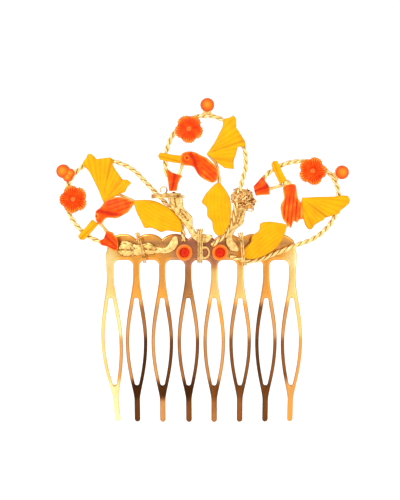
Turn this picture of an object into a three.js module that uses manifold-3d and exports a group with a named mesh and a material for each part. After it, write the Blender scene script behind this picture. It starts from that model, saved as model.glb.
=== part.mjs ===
// Decorative hair comb: a stamped eight-tooth comb, with three enamelled hummingbird medallions
// fanned out over its bar and bound to it with thin wire.
// Millimetres, +Z up. The origin is in the middle of the bar, level with the tops of the gaps
// between the teeth. The front of the ornament faces -Y, the wearer's head is towards +Y.
import * as THREE from "three";
import { mergeVertices } from "three/addons/utils/BufferGeometryUtils.js";
import Module from "manifold-3d";

const wasm = await Module();
wasm.setup();

// ---- Driving dimensions -------------------------------------------------------------------

const CLEARANCE = 0.3; // left between pieces that are soldered or bound together

// The stamped comb.
const TEETH = 8;
const TOOTH_PITCH = 7.03;
const TOOTH_GAP = 1.13; // between neighbouring teeth at their widest
const PLATE_THICKNESS = 1;
const BAR_HEIGHT = 5.7; // to the valleys of the scalloped edge
const SCALLOP_RISE = 1.45;
const END_MARGIN = 1.35; // bar beyond the outer teeth's centrelines
const END_SHELF_HEIGHT = 2.7;
const NECK_WIDTH = 1.75;
const NECK_LENGTH = 4.3;
const ROOT_RADIUS = 1.6;
const EYE_STRIP = 0.97; // metal on either side of a tooth's eye
const EYE_NOSE_RADIUS = 0.62; // the rounded top and bottom of an eye
const SHOULDER_LENGTH = 5.9; // from the neck to the top of the eye
const EYE_LENGTH = 23.8;
const EYE_CLOSE_LENGTH = 3.8; // from the bottom of the eye to the leg
const LEG_LENGTH = 6.3;
const LEG_WIDTH = 1.55;
// How far the handles of the tooth's curves reach, as shares of the lengths that they shape.
const HANDLES = {
  shoulder: 0.7,
  upperSide: 0.31,
  lowerSide: 0.32,
  closing: 0.85,
  eyeTop: 0.14,
  eyeUpper: 0.19,
  eyeLower: 0.21,
  eyeBottom: 0.12,
};
const BOW_RADIUS = 120; // of the comb seen from above
const TOOTH_CURVE_RADIUS = 160; // of a tooth seen from the side
const TIP_LEANS = [1.9, 0.2, 0.1, 0.2, 0, -0.1, -0.2, -0.4]; // sideways, of each tooth's tip

// One medallion. Its own frame has the end ring's centre as origin, x to the right,
// y towards the tip and z out of its face.
const FRAME_HALF_WIDTH = 10.8; // to the middle of the rope
const FRAME_HEIGHT = 36.8; // from the end ring's centre to the middle of the rope at the top
const ROPE_DIAMETER = 1.3;
const BRANCH_THICKNESS = 1.2;
const LINK_THICKNESS = 0.9; // of the strut and the strip behind the bird
const LINK_WIDTH = 1;
const ENAMEL_THICKNESS = 0.85;
const BODY_THICKNESS = 1.4;
const FLOWER_THICKNESS = 1;
const SOFT_EDGE = 0.22; // chamfer of the enamelled pieces
const DAISY_RADIUS = 3.8;
const DAISY_NOTCH = 0.2; // share of the radius lost between two petals
const PETALS = 5;
const BUTTON_RADIUS = 0.6;
const BEAD_RADIUS = 1.9;
const BEAD_HEIGHT = 1.5;
const TIP_CUP_THICKNESS = 0.8;
const END_CUP_RADIUS = 2.2;
const END_CUP_BORE = 1.25; // radius
const END_CUP_THICKNESS = 1.8;
const END_CUP_LIP = 0.35; // width and height of the rounding of its rim
const END_RING_HALF_WIDTH = 1.55;
const END_RING_HALF_HEIGHT = 1.9;
const END_RING_WALL = 0.8;
const END_RING_THICKNESS = 1.2;
const BRANCH_FOOT_HEIGHT = 4.9; // top of the branch's foot above the end ring's centre

// How the medallions sit on the bar.
const MIDDLE_RING_X = 0.36;
const RING_GAPS = { left: 1.08, right: 0.9 }; // between an outer end cup and the middle end ring
const RING_Z = 2.05;
const FAN_ANGLE = { left: 56.3, centre: -1.84, right: -56.8 }; // degrees, anticlockwise from the front
const SIDE_SWEEP = 5; // degrees that the outer medallions are swept back, to follow the bow

// The binding wire.
const WIRE_DIAMETER = 0.35;
const WIRE_PITCH = 0.52; // from one turn to the next
const WIRE_BEND = 0.12; // share of a turn's depth in the rounding of each corner
const LEFT_FOOT_SHARE = 0.45; // how far the left wire's foot is from the middle of its gap to the neck
const LEFT_SLANT = 2.1; // sideways, from the foot of a turn to its head
const RIGHT_SLANT = 1.8;
const NECK_MARGIN = 0.45; // from a tooth's neck to the right wire's foot
const RING_MARGIN = 0.25; // from the end ring's side to the middle wire
const FOOT_HEADROOM = 1.2; // above the centre branch's foot
const CURL_RADIUS = 0.9;
const CURL_ASIDE = 3.1; // from the left tie's outer end to its curl's centre
const CURL_RISE = 2.2;
const NEST_PITCH = 0.62; // from one turn of the right tie to the next

// ---- What follows from them ---------------------------------------------------------------

const TOOTH_WIDTH = TOOTH_PITCH - TOOTH_GAP;
const EYE_TOP = NECK_LENGTH + SHOULDER_LENGTH;
const EYE_MIDDLE = EYE_TOP + EYE_LENGTH / 2;
const EYE_BOTTOM = EYE_TOP + EYE_LENGTH;
const LEG_TOP = EYE_BOTTOM + EYE_CLOSE_LENGTH;
const TOOTH_LENGTH = LEG_TOP + LEG_LENGTH;
const ROPE_RADIUS = ROPE_DIAMETER / 2;
const WIRE_RADIUS = WIRE_DIAMETER / 2;
const ENAMEL_BACK = ROPE_RADIUS + CLEARANCE; // enamelled pieces lie on the front of the rope
const CENTRE_STEP = ROPE_RADIUS + BRANCH_THICKNESS / 2 + CLEARANCE; // centre medallion before the others
const SWEEP_SLOPE = Math.tan(THREE.MathUtils.degToRad(SIDE_SWEEP));

const RING_X = {
  left: MIDDLE_RING_X - END_RING_HALF_WIDTH - RING_GAPS.left - END_CUP_RADIUS,
  centre: MIDDLE_RING_X,
  right: MIDDLE_RING_X + END_RING_HALF_WIDTH + RING_GAPS.right + END_CUP_RADIUS,
};

// The outer medallions' planes touch the bowed bar where its slope is theirs. This is how far in
// front of the middle of the bar they are at their end rings.
const SEAT_DEPTH =
  PLATE_THICKNESS / 2 +
  CLEARANCE +
  ROPE_RADIUS +
  (BOW_RADIUS * SWEEP_SLOPE ** 2) / 2 -
  Math.min(-RING_X.left, RING_X.right) * SWEEP_SLOPE;

const bow = (x) => x ** 2 / (2 * BOW_RADIUS);
const toothX = (index) => (index - (TEETH - 1) / 2) * TOOTH_PITCH;
const gapX = (index) => toothX(index) + TOOTH_PITCH / 2;

// ---- Materials ----------------------------------------------------------------------------

const metal = (color, roughness) => new THREE.MeshStandardMaterial({ color, roughness, metalness: 1 });
const enamel = (color, roughness) => new THREE.MeshStandardMaterial({ color, roughness, metalness: 0 });
const combGold = metal(0xe7973a, 0.12);
const castGold = metal(0xd8b267, 0.28);
const wireGold = metal(0xe6c27a, 0.25);
const yellowEnamel = enamel(0xf8bd12, 0.35);
const orangeEnamel = enamel(0xf95e1b, 0.3);
const redEnamel = enamel(0xeb320f, 0.2);

// ---- Geometry helpers ---------------------------------------------------------------------

const root = new THREE.Group();

function addMesh(parent, name, geometry, material) {
  const mesh = new THREE.Mesh(geometry, material.clone());
  mesh.name = name;
  parent.add(mesh);
}

function toSolid(geometry) {
  const bare = geometry.clone();
  bare.deleteAttribute("normal");
  bare.deleteAttribute("uv");
  const merged = mergeVertices(bare, 1e-4);
  const triVerts = new Uint32Array(merged.index.array);
  const vertProperties = merged.attributes.position.array;
  return new wasm.Manifold(new wasm.Mesh({ numProp: 3, vertProperties, triVerts }));
}

function toGeometry(solid) {
  const mesh = solid.getMesh();
  const geometry = new THREE.BufferGeometry();
  geometry.setAttribute("position", new THREE.BufferAttribute(mesh.vertProperties, 3));
  geometry.setIndex(new THREE.BufferAttribute(mesh.triVerts, 1));
  return geometry;
}

const joined = (geometries) => toGeometry(geometries.map(toSolid).reduce((all, next) => all.add(next)));

// A flat piece cut to an outline, lying between two depths, with its edges chamfered.
function flatPiece(shape, back, thickness, chamfer = SOFT_EDGE) {
  const geometry = new THREE.ExtrudeGeometry(shape, {
    depth: thickness - 2 * chamfer,
    bevelEnabled: chamfer > 0,
    bevelThickness: chamfer,
    bevelSize: chamfer,
    bevelOffset: -chamfer,
    bevelSegments: 1,
    curveSegments: 4,
    steps: 1,
  });
  return geometry.translate(0, 0, back + chamfer);
}

// A round bar of a given radius along a curve, with flat ends.
function roundBar(curve, radius, sides, steps) {
  const corner = (_, i) => {
    const angle = (2 * Math.PI * i) / sides;
    return new THREE.Vector2(radius * Math.cos(angle), radius * Math.sin(angle));
  };
  const section = new THREE.Shape(Array.from({ length: sides }, corner));
  return new THREE.ExtrudeGeometry(section, { extrudePath: curve, steps });
}

// A turned piece whose axis is the medallion's z, from pairs of radius and height.
function turned(profile, segments) {
  const points = profile.map(([radius, height]) => new THREE.Vector2(radius, height));
  return new THREE.LatheGeometry(points, segments).rotateX(Math.PI / 2);
}

// ---- The comb -----------------------------------------------------------------------------

// Half the outline of one tooth and the bar above it, from the middle of the top edge to the tip.
function halfToothOutline(isEnd) {
  const half = new THREE.Path();
  const cut = TOOTH_PITCH / 2;
  const neck = NECK_WIDTH / 2;
  const widest = TOOTH_WIDTH / 2;
  const leg = LEG_WIDTH / 2;
  half.moveTo(0, BAR_HEIGHT);
  if (isEnd) {
    const shelf = END_MARGIN * 0.7;
    half.quadraticCurveTo(shelf, BAR_HEIGHT - 0.5, shelf, END_SHELF_HEIGHT);
    half.quadraticCurveTo(END_MARGIN, END_SHELF_HEIGHT, END_MARGIN, 0.5);
    half.lineTo(neck + 0.15, -NECK_LENGTH);
  } else {
    const radius = (cut ** 2 + SCALLOP_RISE ** 2) / (2 * SCALLOP_RISE);
    const centre = BAR_HEIGHT + SCALLOP_RISE - radius;
    half.absarc(cut, centre, radius, Math.PI / 2 + Math.asin(cut / radius), Math.PI / 2, true);
    half.lineTo(cut, 0);
    half.absarc(neck + ROOT_RADIUS, -ROOT_RADIUS, ROOT_RADIUS, Math.PI / 2, Math.PI, false);
    half.lineTo(neck, -NECK_LENGTH);
  }
  half.bezierCurveTo(
    neck,
    -NECK_LENGTH - HANDLES.shoulder * SHOULDER_LENGTH,
    widest,
    -EYE_MIDDLE + HANDLES.upperSide * EYE_LENGTH,
    widest,
    -EYE_MIDDLE,
  );
  half.bezierCurveTo(
    widest,
    -EYE_MIDDLE - HANDLES.lowerSide * EYE_LENGTH,
    leg + 0.3,
    -LEG_TOP + HANDLES.closing * EYE_CLOSE_LENGTH,
    leg,
    -LEG_TOP,
  );
  half.lineTo(leg, leg - TOOTH_LENGTH);
  half.absarc(0, leg - TOOTH_LENGTH, leg, 0, -Math.PI / 2, true);
  return half.getPoints(4);
}

// Half of a tooth's eye, from top to bottom.
function halfEyeOutline() {
  const half = new THREE.Path();
  const nose = EYE_NOSE_RADIUS;
  const widest = TOOTH_WIDTH / 2 - EYE_STRIP;
  half.absarc(0, -EYE_TOP - nose, nose, Math.PI / 2, 0, true);
  half.bezierCurveTo(
    nose + 0.3,
    -EYE_TOP - HANDLES.eyeTop * EYE_LENGTH,
    widest,
    -EYE_MIDDLE + HANDLES.eyeUpper * EYE_LENGTH,
    widest,
    -EYE_MIDDLE,
  );
  half.bezierCurveTo(
    widest,
    -EYE_MIDDLE - HANDLES.eyeLower * EYE_LENGTH,
    nose + 0.5,
    -EYE_BOTTOM + HANDLES.eyeBottom * EYE_LENGTH,
    nose,
    -EYE_BOTTOM + nose,
  );
  half.absarc(0, -EYE_BOTTOM + nose, nose, 0, -Math.PI / 2, true);
  return half.getPoints(4);
}

// The right half goes down and the mirrored left half comes back up.
function closeOutline(right, left) {
  const mirrored = left.map((point) => new THREE.Vector2(-point.x, point.y)).reverse();
  return [...right, ...mirrored.slice(1, -1)].reverse();
}

// Neighbouring cells share points on this grid, so that they join without a seam.
const JOIN_GRID = 1e-4;

// One tooth with its stretch of bar, flat along the bar so that the bow is a chain of short flats,
// then curved back below the neck and leaned sideways towards its tip.
function toothCell(index) {
  const right = halfToothOutline(index === TEETH - 1);
  const left = halfToothOutline(index === 0);
  const shape = new THREE.Shape(closeOutline(right, left));
  const eye = halfEyeOutline();
  shape.holes.push(new THREE.Path(closeOutline(eye, eye)));
  const options = { depth: PLATE_THICKNESS, bevelEnabled: false, curveSegments: 1 };
  const geometry = new THREE.ExtrudeGeometry(shape, options);
  geometry.rotateX(Math.PI / 2).translate(0, PLATE_THICKNESS / 2, 0);
  const middle = toothX(index);
  const start = bow(middle - TOOTH_PITCH / 2);
  const slope = (bow(middle + TOOTH_PITCH / 2) - start) / TOOTH_PITCH;
  const position = geometry.attributes.position;
  const onGrid = (value) => Math.round(value / JOIN_GRID) * JOIN_GRID;
  for (let i = 0; i < position.count; i++) {
    const x = position.getX(i);
    const below = Math.max(0, -position.getZ(i) - NECK_LENGTH);
    const share = below / (TOOTH_LENGTH - NECK_LENGTH);
    const curve = below ** 2 / (2 * TOOTH_CURVE_RADIUS);
    position.setX(i, onGrid(middle + x + TIP_LEANS[index] * share ** 2));
    position.setY(i, onGrid(position.getY(i) + start + slope * (x + TOOTH_PITCH / 2) + curve));
  }
  return geometry;
}

const cells = Array.from({ length: TEETH }, (_, index) => toothCell(index));
addMesh(root, "comb_plate", joined(cells), combGold);

// ---- The medallions -----------------------------------------------------------------------

// The bird and the plants are drawn for an oval of these sizes, and stretch with the real one.
const DRAWN_HALF_WIDTH = 10.8;
const DRAWN_HEIGHT = 36.8;
const OVAL_CENTRE = 24.4;
const OVAL_HALF_HEIGHT = DRAWN_HEIGHT - OVAL_CENTRE;

function drawn(x, y) {
  const across = FRAME_HALF_WIDTH / DRAWN_HALF_WIDTH;
  const along = FRAME_HEIGHT / DRAWN_HEIGHT;
  return new THREE.Vector2(x * across, y * along);
}

const smoothShape = (points, divisions) => {
  const curve = new THREE.SplineCurve([...points, points[0]].map(([x, y]) => drawn(x, y)));
  return new THREE.Shape(curve.getPoints(divisions).slice(0, -1));
};

const cornerShape = (points) => new THREE.Shape(points.map(([x, y]) => drawn(x, y)));

// The rope follows the oval from behind the tulip, over the top and down the right-hand side,
// then closes in along the tail to the end ring.
function ropeCurve() {
  const points = [];
  const first = 200;
  const last = -22;
  const arcSteps = 16;
  for (let i = 0; i <= arcSteps; i++) {
    const angle = THREE.MathUtils.degToRad(first + ((last - first) * i) / arcSteps);
    const x = DRAWN_HALF_WIDTH * Math.cos(angle);
    const y = OVAL_CENTRE + OVAL_HALF_HEIGHT * Math.sin(angle);
    points.push([x, y]);
  }
  points.push([9.1, 15.5], [8.3, 12], [7.7, 8.8], [6.3, 5.4], [4, 3.2], [2.3, 1.9]);
  return new THREE.CatmullRomCurve3(
    points.map(([x, y]) => new THREE.Vector3(...drawn(x, y).toArray(), 0)),
  );
}

function birdWing() {
  return cornerShape([
    [-0.4, 26.9],
    [1.4, 29.7],
    [3.2, 32.5],
    [4.2, 34.5],
    [3.8, 35.7],
    [5.1, 36],
    [6.2, 36.6],
    [7.5, 36.4],
    [7.9, 34.6],
    [9.3, 32.3],
    [10.1, 30.2],
    [10.4, 28.9],
    [8.9, 29],
    [8.1, 28.3],
    [7.7, 26.5],
    [7.3, 24.8],
    [7.7, 23.2],
    [6.5, 22.8],
    [4.1, 23.5],
    [2.4, 24.9],
  ]);
}

function birdBody() {
  return smoothShape(
    [
      [-6.8, 24.9],
      [-6.4, 26.3],
      [-4.9, 26.9],
      [-3.2, 26.2],
      [-0.7, 26.1],
      [1.4, 24.5],
      [2.8, 22.4],
      [3.1, 20.5],
      [2.2, 19.3],
      [0, 19.5],
      [-1.6, 20.7],
      [-2.8, 22.1],
      [-4.1, 23],
      [-6.1, 23.4],
    ],
    30,
  );
}

function birdTail() {
  return smoothShape(
    [
      [3.2, 18.8],
      [1.6, 17.3],
      [0.1, 15.4],
      [-0.6, 13.4],
      [0.7, 12.1],
      [1, 9.7],
      [2.2, 8.4],
      [2.6, 6.3],
      [3.8, 4.7],
      [5.1, 4.9],
      [6.4, 6.6],
      [7.2, 9.2],
      [7.3, 12.4],
      [6.8, 15],
      [5.4, 17.3],
      [4.1, 18.7],
    ],
    34,
  );
}

function birdBeak() {
  return cornerShape([
    [-12.1, 26.3],
    [-12.5, 25.4],
    [-12.1, 24.6],
    [-9, 24.1],
    [-7.2, 24.1],
    [-7.2, 25.3],
    [-9, 25.7],
  ]);
}

function tulip() {
  return cornerShape([
    [-10.7, 21.4],
    [-10.6, 19.2],
    [-9.8, 16.2],
    [-8.5, 16.2],
    [-8, 18.3],
    [-6.3, 19.8],
    [-8.7, 20.5],
  ]);
}

// The branch carries the tulip and comes down to the end ring beside the tail.
function leafBranch() {
  const ring = ((END_CUP_RADIUS + CLEARANCE + 0.1) * DRAWN_HEIGHT) / FRAME_HEIGHT;
  return cornerShape([
    [-9.5, 15.8],
    [-9.9, 14.4],
    [-8.8, 11.6],
    [-7.5, 9.9],
    [-5.6, 8],
    [-4, 5.6],
    [-2.7, 3.6],
    [-1.1, ring],
    [1.1, ring],
    [2.6, BRANCH_FOOT_HEIGHT - 0.8],
    [2.4, BRANCH_FOOT_HEIGHT],
    [-1.6, BRANCH_FOOT_HEIGHT],
    [-2.9, BRANCH_FOOT_HEIGHT + 2.1],
    [-3, 9.5],
    [-5.5, 11.9],
    [-5.8, 14.2],
    [-6.4, 15.8],
  ]);
}

function daisyShape() {
  const points = [];
  const steps = 6 * PETALS;
  for (let i = 0; i < steps; i++) {
    const angle = (2 * Math.PI * i) / steps;
    const bulge = Math.abs(Math.cos((PETALS / 2) * angle));
    const radius = DAISY_RADIUS * (1 - DAISY_NOTCH * (1 - bulge) ** 1.5);
    points.push(new THREE.Vector2(radius * Math.sin(angle), -radius * Math.cos(angle)));
  }
  return new THREE.Shape(points);
}

function linkBar(points) {
  const curve = new THREE.CatmullRomCurve3(
    points.map(([x, y]) => new THREE.Vector3(...drawn(x, y).toArray(), ROPE_RADIUS - LINK_THICKNESS / 2)),
  );
  return roundBar(curve, LINK_WIDTH / 2, 6, 3 * (points.length - 1));
}

const DAISY_CENTRE = [-4.7, 33];

function addMedallion(side) {
  const isCentre = side === "centre";
  const sweep = isCentre ? 0 : -Math.sign(FAN_ANGLE[side]) * SIDE_SWEEP;
  const swept = new THREE.Group();
  swept.position.set(RING_X[side], -SEAT_DEPTH - (isCentre ? CENTRE_STEP : 0), RING_Z);
  swept.rotation.z = THREE.MathUtils.degToRad(sweep);
  const upright = new THREE.Group();
  upright.rotation.x = Math.PI / 2;
  const face = new THREE.Group();
  face.rotation.z = THREE.MathUtils.degToRad(FAN_ANGLE[side]);
  root.add(swept);
  swept.add(upright);
  upright.add(face);
  const add = (name, geometry, material) => addMesh(face, `${side}_${name}`, geometry, material);

  add("rope_frame", roundBar(ropeCurve(), ROPE_RADIUS, 8, 30), castGold);
  add("leaf_branch", flatPiece(leafBranch(), -BRANCH_THICKNESS / 2, BRANCH_THICKNESS), castGold);
  const strut = linkBar([
    [-6, 24.2],
    [-7.2, 20.2],
  ]);
  add("head_strut", strut, castGold);
  const strip = linkBar([
    [0.6, 26.6],
    [2.9, 23.9],
    [3.7, 20.6],
    [3.9, 17.6],
  ]);
  add("back_strip", strip, castGold);

  add("bird_body", flatPiece(birdBody(), ENAMEL_BACK, BODY_THICKNESS), orangeEnamel);
  add("bird_wing", flatPiece(birdWing(), ENAMEL_BACK, ENAMEL_THICKNESS), yellowEnamel);
  add("bird_tail", flatPiece(birdTail(), ENAMEL_BACK, ENAMEL_THICKNESS), yellowEnamel);
  add("bird_beak", flatPiece(birdBeak(), ENAMEL_BACK, ENAMEL_THICKNESS), yellowEnamel);
  add("tulip", flatPiece(tulip(), ENAMEL_BACK, FLOWER_THICKNESS), orangeEnamel);

  const flower = drawn(...DAISY_CENTRE);
  const daisy = flatPiece(daisyShape(), ENAMEL_BACK, FLOWER_THICKNESS);
  add("daisy", daisy.translate(flower.x, flower.y, 0), orangeEnamel);
  const button = turned(
    [
      [0, 0],
      [BUTTON_RADIUS, 0],
      [BUTTON_RADIUS * 0.8, BUTTON_RADIUS * 0.5],
      [0, BUTTON_RADIUS * 0.7],
    ],
    8,
  );
  button.translate(flower.x, flower.y, ENAMEL_BACK + FLOWER_THICKNESS + CLEARANCE);
  add("daisy_button", button, orangeEnamel);

  const tipY = FRAME_HEIGHT + ROPE_RADIUS + CLEARANCE + BEAD_RADIUS;
  const tipCup = turned(
    [
      [0, 0],
      [BEAD_RADIUS, 0],
      [BEAD_RADIUS, TIP_CUP_THICKNESS],
      [0, TIP_CUP_THICKNESS],
    ],
    14,
  );
  add("tip_cup", tipCup.translate(0, tipY, -TIP_CUP_THICKNESS / 2), castGold);
  const domeSteps = 4;
  const dome = Array.from({ length: domeSteps }, (_, i) => {
    const angle = (Math.PI / 2) * (i / domeSteps);
    return [BEAD_RADIUS * Math.cos(angle), BEAD_HEIGHT * Math.sin(angle)];
  });
  const bead = turned([[0, 0], ...dome, [0, BEAD_HEIGHT]], 14);
  add("tip_bead", bead.translate(0, tipY, TIP_CUP_THICKNESS / 2 + CLEARANCE), orangeEnamel);

  if (isCentre) {
    const ring = new THREE.Shape();
    ring.absellipse(0, 0, END_RING_HALF_WIDTH, END_RING_HALF_HEIGHT, 0, 2 * Math.PI);
    const hole = new THREE.Path();
    const holeWidth = END_RING_HALF_WIDTH - END_RING_WALL;
    hole.absellipse(0, 0, holeWidth, END_RING_HALF_HEIGHT - END_RING_WALL, 0, 2 * Math.PI);
    ring.holes.push(hole);
    add("end_ring", flatPiece(ring, -END_RING_THICKNESS / 2, END_RING_THICKNESS, 0.15), castGold);
    return;
  }
  const back = -BRANCH_THICKNESS / 2;
  const lip = END_CUP_LIP;
  const cup = turned(
    [
      [END_CUP_BORE, 0],
      [END_CUP_RADIUS, 0],
      [END_CUP_RADIUS, END_CUP_THICKNESS - lip],
      [END_CUP_RADIUS - lip, END_CUP_THICKNESS],
      [END_CUP_BORE + lip, END_CUP_THICKNESS],
      [END_CUP_BORE, END_CUP_THICKNESS - lip],
      [END_CUP_BORE, 0],
    ],
    18,
  );
  add("end_cup", cup.translate(0, 0, back), orangeEnamel);
  const stoneRadius = END_CUP_BORE - CLEARANCE;
  const stoneHeight = END_CUP_THICKNESS - 2 * lip;
  const stone = turned(
    [
      [0, 0],
      [stoneRadius, 0],
      [stoneRadius, stoneHeight - lip],
      [0, stoneHeight],
    ],
    10,
  );
  add("end_stone", stone.translate(0, 0, back), redEnamel);
}

["left", "centre", "right"].forEach(addMedallion);

// ---- The binding wire ---------------------------------------------------------------------

const WIRE_REACH = CLEARANCE + WIRE_RADIUS; // from the surface that a turn passes to the wire's middle
const sidePlane = (x) => (Math.abs(x) - Math.min(-RING_X.left, RING_X.right)) * SWEEP_SLOPE - SEAT_DEPTH;
const centrePlane = -SEAT_DEPTH - CENTRE_STEP;

// Turns of wire, each a rectangle with rounded corners round what lies between two places. A place
// gives x and z, and the wire's y in front and behind. Corner 0 is in front at `from`, corner 1 in
// front at `to`, and so on round the back, two corners to each bend. `after` carries the wire on.
function windWire({ from, to, firstCorner = 0, corners, step, after = [] }) {
  const length = Math.hypot(to.x - from.x, to.z - from.z);
  const along = WIRE_DIAMETER / length;
  const ring = [
    [along, 1],
    [1 - along, 1],
    [1, 1 - WIRE_BEND],
    [1, WIRE_BEND],
    [1 - along, 0],
    [along, 0],
    [0, WIRE_BEND],
    [0, 1 - WIRE_BEND],
  ];
  const mix = THREE.MathUtils.lerp;
  const points = [];
  for (let i = 0; i <= corners; i++) {
    const [share, outward] = ring[(firstCorner + i) % ring.length];
    const turn = i / ring.length;
    const front = mix(from.front, to.front, share);
    const behind = mix(from.behind, to.behind, share);
    const x = mix(from.x, to.x, share) + step.x * turn;
    const z = mix(from.z, to.z, share) + step.z * turn;
    points.push(new THREE.Vector3(x, mix(behind, front, outward), z));
  }
  points.push(...after.map(([x, y, z]) => new THREE.Vector3(x, y, z)));
  const curve = new THREE.CatmullRomCurve3(points);
  return roundBar(curve, WIRE_RADIUS, 5, 2 * points.length);
}

const behindBar = (x) => bow(x) + PLATE_THICKNESS / 2 + WIRE_REACH;
const sideways = { x: WIRE_PITCH, z: 0 };
const upwards = { x: 0, z: WIRE_PITCH };

// Left: two slanted turns round the bar and the left medallion's branch.
const leftFoot = gapX(1) - LEFT_FOOT_SHARE * (TOOTH_PITCH - NECK_WIDTH - ROOT_RADIUS);
const leftHead = leftFoot - LEFT_SLANT;
const leftFront = sidePlane(leftFoot) - BRANCH_THICKNESS / 2 - WIRE_REACH;
const leftWrap = windWire({
  from: { x: leftFoot, z: -WIRE_REACH, front: leftFront, behind: behindBar(leftHead) },
  to: { x: leftHead, z: BAR_HEIGHT + SCALLOP_RISE, front: leftFront, behind: behindBar(leftHead) },
  firstCorner: 3,
  corners: 17,
  step: sideways,
});
addMesh(root, "bar_wrap_left", leftWrap, wireGold);

// Right: two turns and a half round the bar and the foot of the right medallion's rope and tail.
const rightRopeLow = new THREE.Box3().setFromObject(root.getObjectByName("right_rope_frame")).min.z;
const rightFoot = toothX(5) + NECK_WIDTH / 2 + NECK_MARGIN;
const rightHead = rightFoot - RIGHT_SLANT;
const rightBehind = behindBar(rightFoot + 2 * WIRE_PITCH);
const rightFront = sidePlane(rightHead) - ENAMEL_BACK - ENAMEL_THICKNESS - WIRE_REACH;
const rightWrap = windWire({
  from: { x: rightFoot, z: rightRopeLow - WIRE_REACH, front: rightFront, behind: rightBehind },
  to: { x: rightHead, z: BAR_HEIGHT + SCALLOP_RISE, front: rightFront, behind: rightBehind },
  firstCorner: 3,
  corners: 21,
  step: sideways,
});
addMesh(root, "bar_wrap_right", rightWrap, wireGold);

// Middle: three turns round the bar and the centre medallion's end ring.
const centreFoot = RING_X.centre - END_RING_HALF_WIDTH - RING_MARGIN;
const centreFront = centrePlane - END_RING_THICKNESS / 2 - WIRE_REACH;
const branchFoot = RING_Z + drawn(0, BRANCH_FOOT_HEIGHT).y;
const centreWrap = windWire({
  from: { x: centreFoot, z: -WIRE_REACH, front: centreFront, behind: behindBar(0) },
  to: { x: centreFoot, z: branchFoot + FOOT_HEADROOM, front: centreFront, behind: behindBar(0) },
  firstCorner: 3,
  corners: 25,
  step: sideways,
});
addMesh(root, "centre_wrap", centreWrap, wireGold);

// Where a point of a medallion's own frame comes, seen from the front.
function seenAt(side, x, y) {
  const sweep = side === "centre" ? 0 : THREE.MathUtils.degToRad(SIDE_SWEEP);
  const turn = THREE.MathUtils.degToRad(FAN_ANGLE[side]);
  const point = drawn(x, y).rotateAround(new THREE.Vector2(), turn);
  return { x: RING_X[side] + point.x * Math.cos(sweep), z: RING_Z + point.y };
}

// Left tie: turns from the left rope to the top of the centre branch, ending in a standing curl.
const tieOuter = seenAt("left", 7.2, 15.65);
const tieInner = seenAt("centre", -5.3, 14.1);
const tieFront = centrePlane - BRANCH_THICKNESS / 2 - WIRE_REACH;
const curlFront = tieFront - WIRE_DIAMETER;
const curlSteps = 8;
const curlTurn = 2 * Math.PI * 0.8;
const curl = Array.from({ length: curlSteps + 1 }, (_, i) => {
  const angle = -Math.PI / 2 + (curlTurn * i) / curlSteps;
  const x = tieOuter.x + CURL_ASIDE + CURL_RADIUS * Math.cos(angle);
  return [x, curlFront, tieOuter.z + CURL_RISE + CURL_RADIUS * Math.sin(angle)];
});
const leftTie = windWire({
  from: {
    ...tieOuter,
    front: tieFront,
    behind: sidePlane(tieOuter.x) + ROPE_RADIUS + WIRE_REACH,
  },
  to: {
    ...tieInner,
    front: tieFront,
    behind: sidePlane(tieOuter.x) - SWEEP_SLOPE * CURL_ASIDE + ROPE_RADIUS + WIRE_REACH,
  },
  firstCorner: 5,
  corners: 19,
  step: upwards,
  after: curl,
});
addMesh(root, "left_tie", leftTie, wireGold);

// Right tie: the nest of wire round the centre rope and the top of the right branch.
const nestInner = seenAt("centre", 8.9 - 1.5 * ROPE_RADIUS, 13.11); // clear of the leaning rope
const nestOuter = seenAt("right", -4.15, 15.3);
const nestBack = sidePlane(nestOuter.x) + BRANCH_THICKNESS / 2 + WIRE_REACH;
const rightTie = windWire({
  from: { ...nestInner, front: centrePlane - ROPE_RADIUS - WIRE_REACH, behind: nestBack },
  to: { ...nestOuter, front: centrePlane, behind: nestBack },
  corners: 43,
  step: { x: 0, z: NEST_PITCH },
});
addMesh(root, "right_tie", rightTie, wireGold);

export default root;
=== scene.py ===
import bmesh
import bpy
import numpy as np
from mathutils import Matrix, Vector


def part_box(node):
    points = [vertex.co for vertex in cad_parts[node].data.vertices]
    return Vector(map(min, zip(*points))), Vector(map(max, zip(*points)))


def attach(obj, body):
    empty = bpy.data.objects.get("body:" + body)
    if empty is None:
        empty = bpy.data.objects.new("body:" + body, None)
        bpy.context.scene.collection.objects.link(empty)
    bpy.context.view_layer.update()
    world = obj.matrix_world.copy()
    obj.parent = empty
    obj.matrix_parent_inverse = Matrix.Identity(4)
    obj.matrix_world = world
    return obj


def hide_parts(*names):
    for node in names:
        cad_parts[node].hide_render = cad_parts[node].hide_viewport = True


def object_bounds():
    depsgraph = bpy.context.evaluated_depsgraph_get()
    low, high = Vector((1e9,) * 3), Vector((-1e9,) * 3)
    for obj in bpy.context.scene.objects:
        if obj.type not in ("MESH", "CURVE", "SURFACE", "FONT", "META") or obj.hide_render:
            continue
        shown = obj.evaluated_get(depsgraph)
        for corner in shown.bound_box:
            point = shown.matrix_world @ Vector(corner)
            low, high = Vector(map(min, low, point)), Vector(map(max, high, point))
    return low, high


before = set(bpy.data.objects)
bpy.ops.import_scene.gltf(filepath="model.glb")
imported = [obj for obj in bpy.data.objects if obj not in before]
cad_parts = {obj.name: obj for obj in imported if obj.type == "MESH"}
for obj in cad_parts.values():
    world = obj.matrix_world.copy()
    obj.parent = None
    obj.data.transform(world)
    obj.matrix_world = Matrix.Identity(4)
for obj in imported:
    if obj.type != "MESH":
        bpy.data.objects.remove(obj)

cad_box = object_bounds()

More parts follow.
